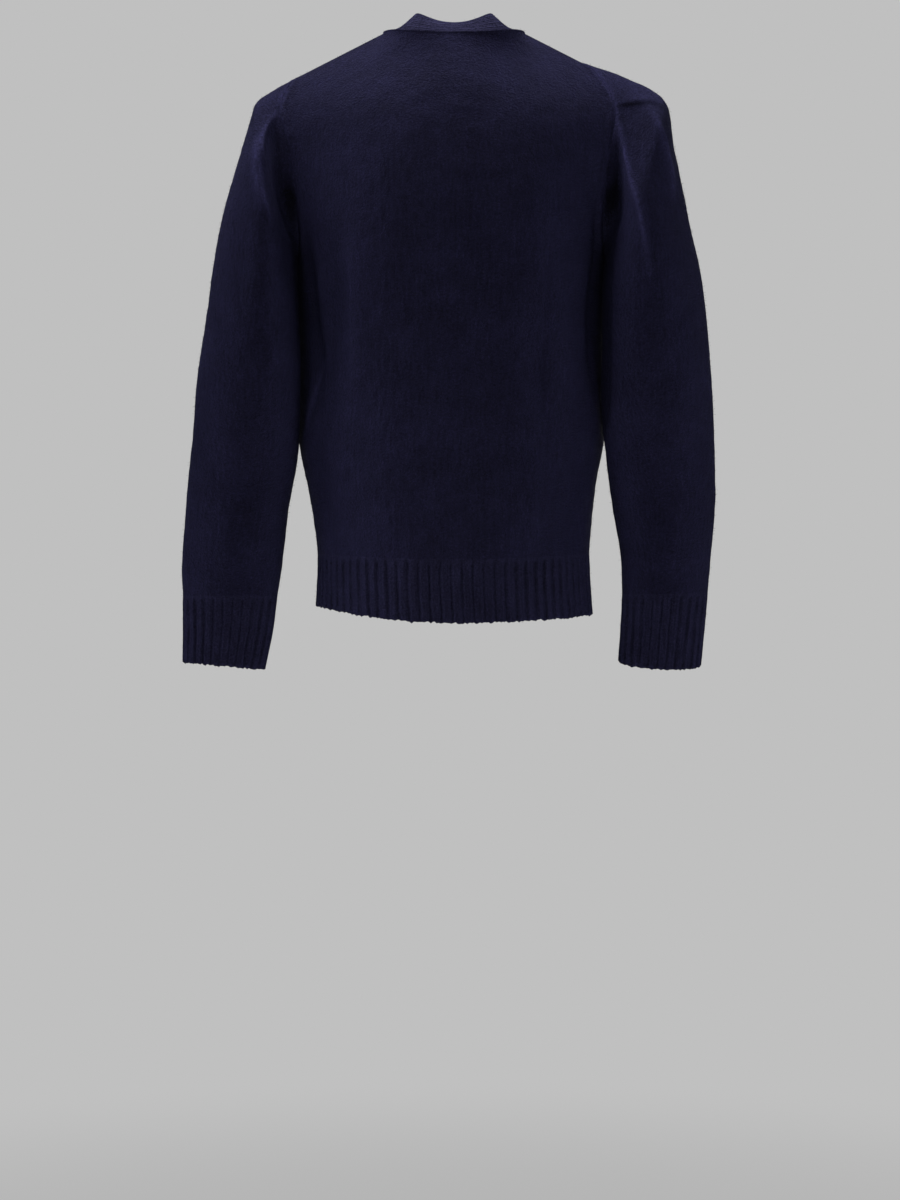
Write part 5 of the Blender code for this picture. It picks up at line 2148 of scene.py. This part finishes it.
    def cuff(self) -> Cloth:
        """Shapes the cuff.

        Returns:
            Its cloth.
        """
        last = len(SLEEVES[self.side]) - 1.0
        rows = np.linspace(SHAPE.cuff_row, last, self.cuff_rings)
        angles = self.even_angles(last - 1.0, self.ribs * self.rib_points)
        rings = SHAPE.sleeve(self.side, rows, angles)
        inward = self.inward(rings)
        rings[-1, :, 2] += uneven((len(angles),), self.ragged, self.seeds[self.side][1])
        run = self.run_of(rings)
        wrapped = np.concatenate([rings, rings[:, :1]], axis=1)
        return Cloth(
            "cuff_%s_knit" % self.side.value,
            rings,
            inward,
            SHAPE.rib_wall,
            run,
            closed=True,
            rounded=("last",),
            rib=run[..., 0] / lengths(wrapped, 1)[:, -1:] * self.ribs * self.pitch,
            rib_rise=soft_step(lengths(rings, 0), 0.0, self.fade),
        )

    def build(self) -> dict[str, bpy.types.Object]:
        """Makes the sleeve and its cuff.

        Returns:
            The pieces by node.
        """
        sleeve, cuff = "sleeve_" + self.side.value, "cuff_" + self.side.value
        tree = rib_tree("cuff_ribs_" + self.side.value, self.rib_knit, self.pitch, self.relief)
        plain, ribbed = self.upper(), self.cuff()
        return {
            sleeve: settle(plain.build(), self.knit, sleeve),
            cuff: settle(tree.apply(ribbed.build(), ribbed.name), self.rib_knit, cuff),
        }


@dataclass
class Band:
    """The one narrow band: up the right front, round the back neck and down the left front."""

    body: Body
    hem: RibHem
    finish: bpy.types.Material
    cell: float = 0.0034  # spacing along it
    columns: int = 43  # points across it
    blend: float = 0.0075  # over which a change of its lean is spread
    pitch: float = 0.0032  # of its fine ribs
    relief: float = 0.0006
    wander: float = 0.0001  # how far they stray from a straight line
    stitch_rise: float = 0.0002  # from the seam out to its stitches
    stitch_reach: float = 0.0004  # and on to the band
    curl: tuple[float, float] = (0.0009, 0.0006)  # how it swells out, and rolls in at its edge
    curl_power: int = 6  # how close to the edge that is
    upright: float = 0.030  # the curl fades in over this depth below the neck
    reach: float = 0.010  # how far off it is read for its slope
    button_depths: tuple[float, ...] = tuple(0.262 + 0.070 * k for k in range(6))
    buttonhole_length: float = 0.022
    buttonhole_columns: int = 4  # cells that a buttonhole takes up
    cloth: Cloth | None = None
    seam: Grid | None = None  # the line of its linking stitches

    def front_edge(self, side: Side) -> tuple[Grid, Grid, Grid]:
        """Finds the seam up one front.

        Args:
            side: Which front.

        Returns:
            The seam's outer and inner corners, and the way the band lies.
        """
        low = self.hem.cloths["hem_rib_" + side.value]
        high = self.body.cloths["front_" + side.value]
        outer = np.concatenate([low.outer[:-1, 0], high.outer[:, 0]])
        facing = np.concatenate([low.inward[:-1, 0], high.inward[:, 0]])
        walls = (np.full(len(low.outer) - 1, low.wall), np.full(len(high.outer), high.wall))
        wall = np.concatenate(walls)
        inner = outer + wall[:, None] * facing
        outward = -facing
        along = np.gradient(outer, axis=0)
        direction = unit(np.cross(along, outward))
        direction = direction * np.sign(direction[:, :1] * -side.sign)
        rise = 1.0 - share_above(-outer[:, 2], 0.0, SHAPE.lean_depth)
        raised = math.radians(STANDS[-1].degrees) * rise[:, None]
        direction = np.cos(raised) * direction + np.sin(raised) * outward
        full = 0.5 * (SHAPE.rib_wall + SHAPE.layer_gap)
        shift = side.sign * full * share_above(-outer[:, 2], *SHAPE.layer_fade)[:, None] * outward
        return outer + shift, inner + shift, direction

    def neck_edge(self) -> tuple[Grid, Grid, Grid]:
        """Finds the seam round the back neck, its two corners left out.

        Returns:
            The same as for a front's seam.
        """
        back = self.body.cloths["back"]
        middle = back.outer.shape[1] // 2
        span = slice(middle - self.body.neck_steps + 1, middle + self.body.neck_steps)
        outer = back.outer[-1, span]
        inner = outer + back.wall * back.inward[-1, span]
        along = np.gradient(outer, axis=0)
        level = unit(np.stack([-along[:, 1], along[:, 0], 0 * along[:, 0]], axis=1))
        level[np.sum(level * outer, axis=1) > 0] *= -1.0
        share = np.abs(outer[:, 0]) / SHAPE.neck_half_width
        raised = np.radians(read(STANDS, "degrees", share))[:, None]
        return outer, inner, np.cos(raised) * level + np.sin(raised) * (0.0, 0.0, 1.0)

    def path(self) -> tuple[Grid, Grid, Grid]:
        """Joins the seams, evenly spaced, with the band's lean smoothed along them.

        Returns:
            The seam's points, the way out through the wall, and the way the band lies.
        """
        up, neck = self.front_edge(Side.RIGHT), self.neck_edge()
        down = tuple(part[::-1] for part in self.front_edge(Side.LEFT))
        outer, inner, direction = (np.concatenate(parts) for parts in zip(up, neck, down))
        run = lengths(outer, 0)
        count = int(run[-1] / self.cell)
        even = np.linspace(0.0, run[-1], count)
        outer, inner, direction = (
            np.stack([np.interp(even, run, part[:, k]) for k in range(3)], axis=1)
            for part in (outer, inner, direction)
        )
        reach = int(3 * self.blend / self.cell)
        bell = np.exp(-0.5 * (np.arange(-reach, reach + 1) * self.cell / self.blend) ** 2)
        bell /= bell.sum()

        def blended(values: Grid) -> Grid:
            """Vectors along the seam, smoothed."""
            padded = np.pad(values, ((reach, reach), (0, 0)), mode="edge")
            return np.stack([np.convolve(padded[:, k], bell, "valid") for k in range(3)], axis=1)

        thick = blended(unit(outer - inner))
        direction = blended(unit(direction))
        along = unit(np.gradient(blended(outer), axis=0))
        direction = unit(direction - along * np.sum(direction * along, axis=1, keepdims=True))
        thick = thick - along * np.sum(thick * along, axis=1, keepdims=True)
        thick = unit(thick - direction * np.sum(thick * direction, axis=1, keepdims=True))
        return outer, thick, direction

    def make_cloth(self) -> Cloth:
        """Shapes the band, and keeps the line of its linking stitches.

        Returns:
            Its cloth.
        """
        seam, thick, direction = self.path()
        self.seam = seam + self.stitch_rise * thick + self.stitch_reach * direction
        across = np.linspace(SHAPE.seam_gap, SHAPE.band_width - SHAPE.seam_gap, self.columns)
        share = (across / SHAPE.band_width)[None, :, None]
        swell, roll = self.curl
        curl = swell * np.sin(math.pi * share) - roll * share**self.curl_power
        upright = soft_step(seam[:, 2], -self.upright, 0.0)[:, None, None]
        outer = seam[:, None] + across[None, :, None] * direction[:, None]
        outer = outer + (curl * upright) * thick[:, None]
        inward = np.broadcast_to(-thick[:, None], outer.shape).copy()
        run = lengths(seam, 0)
        along = np.broadcast_to(run[:, None], outer.shape[:2])
        over = np.broadcast_to(across[None], outer.shape[:2])
        keep = np.ones((len(seam) - 1, self.columns - 1), dtype=bool)
        middle = (self.columns - 1) // 2
        half = self.buttonhole_columns // 2
        second = np.arange(len(seam)) > len(seam) // 2
        for depth in self.button_depths:
            rows = second & (np.abs(-outer[:, middle, 2] - depth) < 0.5 * self.buttonhole_length)
            keep[np.flatnonzero(rows)[:-1, None], np.arange(middle - half, middle + half)] = False
        return Cloth(
            "front_band_knit",
            outer,
            inward,
            SHAPE.rib_wall,
            np.stack([over, along], axis=-1),
            rounded=("first", "last", "right"),
            keep=keep,
            rib=over.copy(),
            rib_rise=np.ones_like(over),
        )

    def build(self) -> dict[str, bpy.types.Object]:
        """Makes the band.

        Returns:
            The piece by its node.
        """
        self.cloth = self.make_cloth()
        tree = rib_tree("band_ribs", self.finish, self.pitch, self.relief, self.wander)
        made = tree.apply(self.cloth.build(), self.cloth.name)
        return {"front_band": settle(made, self.finish, "front_band")}

    def front_at(self, depth: float) -> tuple[float, float, float]:
        """Finds the overlap at a depth on the centre line.

        Args:
            depth: How far below the origin.

        Returns:
            Y of its front, its slope there, and Y of its inner layer.
        """
        middle, half = (self.columns - 1) // 2, len(self.cloth.outer) // 2
        inner, line = self.cloth.outer[:half, middle], self.cloth.outer[half:, middle]
        order = np.argsort(-line[:, 2])
        spread = depth + self.reach * np.array([-1.0, 0.0, 1.0])
        above, y, below = np.interp(spread, -line[order, 2], line[order, 1])
        order = np.argsort(-inner[:, 2])
        behind = float(np.interp(depth, -inner[order, 2], inner[order, 1]))
        return min(y, 0.5 * (above + below)), (above - below) / (2 * self.reach), behind


def ring_faces(rings: int, sides: int) -> Grid:
    """Makes the four-cornered faces between closed rings of points.

    Args:
        rings: How many rings follow each other.
        sides: Points in each.

    Returns:
        Corner numbers, four for each face.
    """
    i, j = np.meshgrid(np.arange(rings - 1), np.arange(sides), indexing="ij")
    i, j = i.ravel(), j.ravel()
    k = (j + 1) % sides
    low, high = i * sides, (i + 1) * sides
    return np.stack([low + j, low + k, high + k, high + j], axis=1)


TUBE_TIP = 0.02  # how wide a tube's ends are, as a share of its radius


def tube(points: Grid, radius: float, sides: int) -> tuple[Grid, Grid]:
    """A closed round tube along a line.

    Args:
        points: The line.
        radius: The tube's radius.
        sides: How many sides its section has.

    Returns:
        Its vertices and its four-cornered faces; the ends are drawn in to a point.
    """
    along = unit(np.gradient(points, axis=0))
    helper = np.where(np.abs(along[:, 1:2]) < 0.9, (0.0, 1.0, 0.0), (1.0, 0.0, 0.0))
    first = unit(np.cross(along, helper))
    second = np.cross(along, first)
    angle = np.linspace(0.0, 2 * math.pi, sides + 1)[:-1]
    size = np.full(len(points), radius)
    size[[0, -1]] = TUBE_TIP * radius
    around = np.cos(angle)[:, None] * first[:, None] + np.sin(angle)[:, None] * second[:, None]
    vertices = points[:, None] + size[:, None, None] * around
    return vertices.reshape(-1, 3), ring_faces(len(points), sides)


@dataclass
class Buttons:
    """Six dished buttons with four holes, and the thread that sews each one on."""

    band: Band
    horn: bpy.types.Material
    thread: bpy.types.Material
    radius: float = 0.010
    thickness: float = 0.0032
    rim: float = 0.0024  # its width
    ease: float = 0.0009  # radius of the rim's edges
    dish: float = 0.0010  # how deep the middle is sunk
    slope: float = 0.0016  # width of the step into it
    hole: float = 0.0010  # its radius
    spread: float = 0.0019  # of the holes from the centre lines
    clearance: float = 0.0005  # from the band
    strand: float = 0.00032  # radius of the thread
    steps: int = 64  # points round a button
    hole_steps: int = 20  # points round a hole
    edge_steps: int = 9  # points round the rim's edges
    dish_steps: int = 7  # points down the step
    flat: float = 0.45  # how far out the flat middle is meshed, as a share of the radius
    overshoot: float = 0.001  # how far the holes' posts stick out
    crisp: float = 38.0  # an edge sharper than this, in degrees, is shaded crisp
    bar_steps: int = 13  # points along a bar of thread
    bar_apart: float = 1.6  # from one bar to the next, in their thickness
    shifts: tuple[float, float] = (-0.55, 0.55)  # where the two bars of a side lie
    bulge: tuple[float, float, float] = (0.25, 0.9, 0.6)  # rise, arch and its power, in strands
    tucked: float = 0.0003  # how deep the bars' ends sit below the back
    winds: int = 9  # turns of the shank
    wind_steps: int = 150
    shank: tuple[float, float, float] = (0.0009, 0.0002, 0.11)  # radius, its change, how often
    shank_gap: float = 0.0002  # at both of its ends
    thread_sides: int = 8

    def profile(self) -> Grid:
        """Shapes half of a button's section.

        Returns:
            Radius and height of points from the back round to the front.
        """
        turn = np.linspace(-0.5 * math.pi, 0.5 * math.pi, self.edge_steps)
        edge_r = self.radius - self.ease + self.ease * np.cos(turn)
        flat = np.where(turn < 0, self.ease, self.thickness - self.ease)
        edge = np.stack([edge_r, flat + self.ease * np.sin(turn)], axis=1)
        inner = np.linspace(0.0, 1.0, self.dish_steps)
        dish_r = self.radius - self.rim - inner * self.slope
        dish = np.stack([dish_r, self.thickness - self.dish * soft_step(inner, 0.0, 1.0)], axis=1)
        middle = self.flat * self.radius
        return np.concatenate([[(middle, 0.0)], edge, dish, [(middle, self.thickness - self.dish)]])

    def turned(
        self, name: str, profile: Grid, steps: int, centres: Sequence[tuple[float, float]]
    ) -> bpy.types.Object:
        """Makes closed solids turned round lines along Y, facing -Y.

        Args:
            name: Name of the object.
            profile: Radius and height of each ring, from the back.
            steps: Points in a ring.
            centres: X and Z of each solid's line.

        Returns:
            The object, with its faces turned outwards.
        """
        angle = np.linspace(0.0, 2 * math.pi, steps + 1)[:-1]
        points, faces = [], []
        for x, z in centres:
            first = len(points)
            points += [
                (x + r * math.cos(a), -y, z + r * math.sin(a)) for r, y in profile for a in angle
            ]
            last = len(points) - steps
            faces += (ring_faces(len(profile), steps) + first).tolist()
            faces += [list(range(first, first + steps))[::-1], list(range(last, last + steps))]
        mesh = bpy.data.meshes.new(name)
        mesh.from_pydata(points, [], faces)
        editing = bmesh.new()
        editing.from_mesh(mesh)
        bmesh.ops.recalc_face_normals(editing, faces=editing.faces)
        editing.to_mesh(mesh)
        editing.free()
        return placed(name, mesh)

    def bored(self) -> bpy.types.Mesh:
        """Makes one button and cuts its four holes through it.

        Returns:
            Its mesh, with crisp rims.
        """
        blank = self.turned("button_blank", self.profile(), self.steps, ((0.0, 0.0),))
        far = self.thickness + self.overshoot
        ends = np.array([(self.hole, -self.overshoot), (self.hole, far)])
        centres = [(x * self.spread, z * self.spread) for x in (-1, 1) for z in (-1, 1)]
        posts = self.turned("button_posts", ends, self.hole_steps, centres)
        boring = blank.modifiers.new("holes", "BOOLEAN")
        boring.operation = "DIFFERENCE"
        boring.solver = "EXACT"
        boring.object = posts
        evaluated = blank.evaluated_get(bpy.context.evaluated_depsgraph_get())
        mesh = bpy.data.meshes.new_from_object(evaluated)
        bpy.data.objects.remove(blank)
        bpy.data.objects.remove(posts)
        mesh.shade_smooth()
        mesh.set_sharp_from_angle(angle=math.radians(self.crisp))
        return mesh

    def strands(self, depth_behind: float) -> tuple[Grid, Grid]:
        """Makes one button's thread: bars over its face, and the wound shank behind it.

        Args:
            depth_behind: From the button's back to the cloth it is sewn to.

        Returns:
            Vertices and four-cornered faces.
        """
        bars = []
        top = -self.thickness + self.dish
        turn = np.linspace(0.0, math.pi, self.bar_steps)
        lift, arch, power = self.bulge
        for side in (-1, 1):
            for shift in self.shifts:
                beside = side * self.spread + shift * self.strand * self.bar_apart
                x = np.full(len(turn), beside)
                y = top - lift * self.strand - arch * self.strand * np.sin(turn) ** power
                line = np.stack([x, y, self.spread * np.cos(turn)], axis=1)
                ends = line[[0, -1]]
                ends[:, 1] = self.tucked
                bars.append(np.concatenate([ends[:1], line, ends[1:]]))
        turns = np.linspace(0.0, self.winds * 2 * math.pi, self.wind_steps)
        height = np.linspace(self.shank_gap, depth_behind - self.shank_gap, len(turns))
        radius, change, often = self.shank
        wound = radius + change * np.cos(turns * often)
        bars.append(np.stack([wound * np.cos(turns), height, wound * np.sin(turns)], axis=1))
        tubes = [tube(bar, self.strand, self.thread_sides) for bar in bars]
        firsts = np.cumsum([0] + [len(points) for points, _ in tubes])
        faces = [sides + first for (_, sides), first in zip(tubes, firsts)]
        return np.concatenate([points for points, _ in tubes]), np.concatenate(faces)

    def build(self) -> None:
        """Makes the buttons and their threads."""
        bored = self.bored()
        for number, depth in enumerate(self.band.button_depths, start=1):
            y, slope, behind = self.band.front_at(depth)
            place = Matrix.Translation((0.0, y - self.clearance, -depth))
            place = place @ Matrix.Rotation(-math.atan(slope), 4, "X")
            mesh = bored.copy()
            mesh.name = "button_%d_horn" % number
            mesh.transform(place)
            settle(placed(mesh.name, mesh), self.horn, "button_%d" % number)
            points, faces = self.strands(behind - y + self.clearance)
            points = points @ np.array(place.to_3x3()).T + np.array(place.translation)
            sewn = "button_thread_%d_sewn" % number
            thread = mesh_object(sewn, points, faces, points[:, [0, 2]], {})
            settle(thread, self.thread, "button_thread_%d" % number)
        bpy.data.meshes.remove(bored)


@dataclass
class Trimming:
    """Linking stitches along the band's seam, worked buttonholes, and stray wool."""

    band: Band
    yarn: bpy.types.Material  # the stitches' finish
    wool: bpy.types.Material  # the stray fibres' finish
    fibre_length: float = 0.0026
    linking_stitch: tuple[float, float] = (0.0024, 0.0015)  # its length and thickness
    hole_stitch: tuple[float, float] = (0.0011, 0.0007)  # the same round a buttonhole
    hole_steps: int = 49  # points round a buttonhole
    hole_margins: tuple[float, float] = (0.0004, 0.0002)  # the stitches' way off it, aside and up
    hole_lift: float = 0.0001  # and off the band

    def stitched(self, name: str, lines: Sequence[Grid], tree: ShapeTree) -> bpy.types.Object:
        """Lays stitches along lines; they belong to the band."""
        made = tree.apply(line_object(name, lines), name)
        return settle(made, self.yarn, "front_band", stands_in=False)

    def linking(self) -> bpy.types.Object:
        """The ridge of linking stitches where the band meets the fronts and the neck."""
        tree = stitch_tree("linking_stitches", self.yarn, *self.linking_stitch)
        return self.stitched("band_linking", [self.band.seam], tree)

    def buttonholes(self) -> bpy.types.Object:
        """Lays stitches round each buttonhole.

        Returns:
            The piece.
        """
        band = self.band
        aside, up = self.hole_margins
        half = 0.5 * band.buttonhole_columns * SHAPE.band_width / (band.columns - 1) + aside
        length = 0.5 * band.buttonhole_length + up
        angle = np.linspace(0.0, 2 * math.pi, self.hole_steps)
        x = half * np.sign(np.cos(angle)) * np.abs(np.cos(angle)) ** 0.5
        loops = []
        for depth in band.button_depths:
            z = -depth + length * np.sin(angle)
            y, slope, _ = band.front_at(depth)
            on_band = y - slope * (z + depth) - self.hole_lift
            loops.append(np.stack([x, on_band, z], axis=1))
        tree = stitch_tree("buttonhole_stitches", self.yarn, *self.hole_stitch)
        return self.stitched("buttonholes", loops, tree)

    def stray(self, node: str, cloth: bpy.types.Object, seed: int) -> bpy.types.Object:
        """Scatters the fibres that stand off one piece.

        Args:
            node: The piece's node.
            cloth: The piece.
            seed: Seed of its fibres.

        Returns:
            The fibres.
        """
        copy = placed(cloth.name, cloth.data.copy())
        tree = fuzz_tree("stray_" + node, self.wool, CUTS[node].fibres, self.fibre_length, seed)
        made = tree.apply(copy, node + "_stray_wool")
        return settle(made, self.wool, node, stands_in=False)


# ---------------------------------------------------------------------------
# The studio
# ---------------------------------------------------------------------------


@dataclass(frozen=True)
class SoftLight:
    """One soft rectangular light."""

    name: str
    place: tuple[float, float, float]
    aim: tuple[float, float, float]
    size: tuple[float, float]  # width and height
    power: float  # watts
    tint: Colour = (1.0, 1.0, 1.0)

    def hang(self) -> None:
        """Puts the light in the scene, out of the camera's sight."""
        data = bpy.data.lights.new(self.name, "AREA")
        data.shape = "RECTANGLE"
        data.size, data.size_y = self.size
        data.energy = self.power
        data.color = self.tint
        lamp = placed(self.name, data)
        lamp.location = self.place
        way = Vector(self.aim) - Vector(self.place)
        lamp.rotation_euler = way.to_track_quat("-Z", "Y").to_euler()
        lamp.visible_camera = False


MIDDLE = (0.0, 0.0, -0.40)
FILL_TINT = (1.0, 0.99, 0.80)
LIGHTS = (
    SoftLight("overhead", (0.30, -0.18, 1.60), (0.0, 0.0, -0.30), (1.2, 0.5), 55.0),
    SoftLight("right_fill", (-2.4, 1.6, 0.3), MIDDLE, (1.0, 1.6), 4.0),
    SoftLight("upper_left", (1.45, 0.30, 1.15), (0.0, 0.0, -0.2), (0.45, 0.6), 12.0),
    SoftLight("right_strip", (-2.0, -1.0, 0.4), MIDDLE, (0.4, 1.8), 7.0),
    SoftLight("camera_fill", (-0.1, 3.4, -0.7), (0.0, 0.0, -0.5), (1.8, 1.4), 10.0, FILL_TINT),
    SoftLight("low_fill", (0.0, 2.4, -1.25), (0.0, 0.0, -0.70), (1.8, 0.3), 15.0, FILL_TINT),
    SoftLight("front_fill", (-0.6, -3.0, 0.3), MIDDLE, (1.6, 1.2), 20.0),
)


@dataclass
class Studio:
    """A pale paper floor, soft lights and the camera."""

    floor: float = -1.42
    radius: float = 7.0  # wide enough to reach the horizon
    sides: int = 96
    camera_place: tuple[float, float, float] = (0.00448, 3.2, -0.6248)  # it looks level, along -Y
    sensor: float = 36.0  # millimetres
    focal: float = 85.71  # millimetres
    room_light: float = 0.26  # strength of the room's even light
    room_tone: Colour = (0.527, 0.527, 0.527)  # the room as the camera sees it

    def lay_floor(self) -> None:
        """Lays the round paper floor."""
        turn = 2 * math.pi * np.arange(self.sides) / self.sides
        rim = [(self.radius * math.cos(t), self.radius * math.sin(t), self.floor) for t in turn]
        mesh = bpy.data.meshes.new("paper_floor")
        mesh.from_pydata(rim, [], [tuple(range(self.sides))])
        mesh.materials.append(Paper().material())
        placed("paper_floor", mesh)

    def room(self) -> bpy.types.World:
        """Makes the room's dim even light, seen by the camera as pale as the paper.

        Returns:
            The world that holds it.
        """
        world = bpy.data.worlds.new("room")
        world.use_nodes = True
        tree = Tree(world.node_tree)
        dim = world.node_tree.nodes["Background"]
        dim.inputs["Color"].default_value = (1.0, 1.0, 1.0, 1.0)
        dim.inputs["Strength"].default_value = self.room_light
        pale = tree.out("ShaderNodeBackground", {"Color": (*self.room_tone, 1.0)})
        seen = tree.out("ShaderNodeLightPath", which="Is Camera Ray")
        mix = tree.out("ShaderNodeMixShader", {0: seen, 1: Out(tree, dim.outputs[0]), 2: pale})
        tree.tree.links.new(mix.socket, tree.tree.nodes["World Output"].inputs[0])
        return world

    def build(self) -> None:
        """Sets up the floor, the lights, the room and the camera."""
        scene = bpy.context.scene
        self.lay_floor()
        for light in LIGHTS:
            light.hang()
        scene.world = self.room()
        data = bpy.data.cameras.new("camera")
        data.sensor_width = self.sensor
        data.lens = self.focal
        camera = placed("camera", data)
        camera.location = self.camera_place
        camera.rotation_euler = (math.radians(90.0), 0.0, math.radians(180.0))
        scene.camera = camera
        scene.view_settings.view_transform = "Standard"


# ---------------------------------------------------------------------------
# Putting it together
# ---------------------------------------------------------------------------


class Cut(NamedTuple):
    """The flat size a sheet was knitted to, its flat area, and its fibres a square metre."""

    width: float
    length: float
    area: float
    fibres: float


FRONT_CUT = Cut(0.250, 0.590, 0.105, 30000.0)
SLEEVE_CUT = Cut(0.400, 0.540, 0.168, 42000.0)
FRONT_RIB_CUT = Cut(0.200, 0.067, 0.0134, 22000.0)
CUTS = {
    "back": Cut(0.500, 0.590, 0.262, 42000.0),
    "front_left": FRONT_CUT,
    "front_right": FRONT_CUT,
    "sleeve_left": SLEEVE_CUT,
    "sleeve_right": SLEEVE_CUT,
    "hem_rib_back": Cut(0.420, 0.067, 0.0281, 30000.0),
    "hem_rib_left": FRONT_RIB_CUT,
    "hem_rib_right": FRONT_RIB_CUT,
    "cuff_left": Cut(0.240, 0.078, 0.0187, 30000.0),
    "cuff_right": Cut(0.240, 0.082, 0.0196, 30000.0),
    "front_band": Cut(0.030, 1.500, 0.0449, 26000.0),
}


def main() -> None:
    """Builds the garment piece by piece, then the studio."""
    logging.basicConfig(level=logging.INFO, format="%(message)s")
    body = Body()
    made = body.build()
    hem = RibHem(body)
    made |= hem.build()
    plain, ribbed = (bpy.data.materials[part.knit.name] for part in (body, hem))
    for side in Side:
        made |= Sleeve(side, plain, ribbed).build()
    # Colours lighter than the plain knit's: painted light for the light falling on the band
    band_knit = WoolKnit(
        "band_knit",
        deep=(0.0088, 0.0084, 0.0215),
        lit=(0.0760, 0.0720, 0.1780),
        loops=0.8,
        groove_shade=0.15,
    ).material()
    band = Band(body, hem, band_knit)
    made |= band.build()
    Buttons(band, Horn().material(), SewingThread().material()).build()
    trimming = Trimming(band, band_knit, StrayWool().material())
    extras = {
        node: [trimming.stray(node, cloth, seed)]
        for seed, (node, cloth) in enumerate(made.items())
    }
    extras["front_band"] += [trimming.linking(), trimming.buttonholes()]
    Studio().build()


if __name__ == "__main__":
    main()
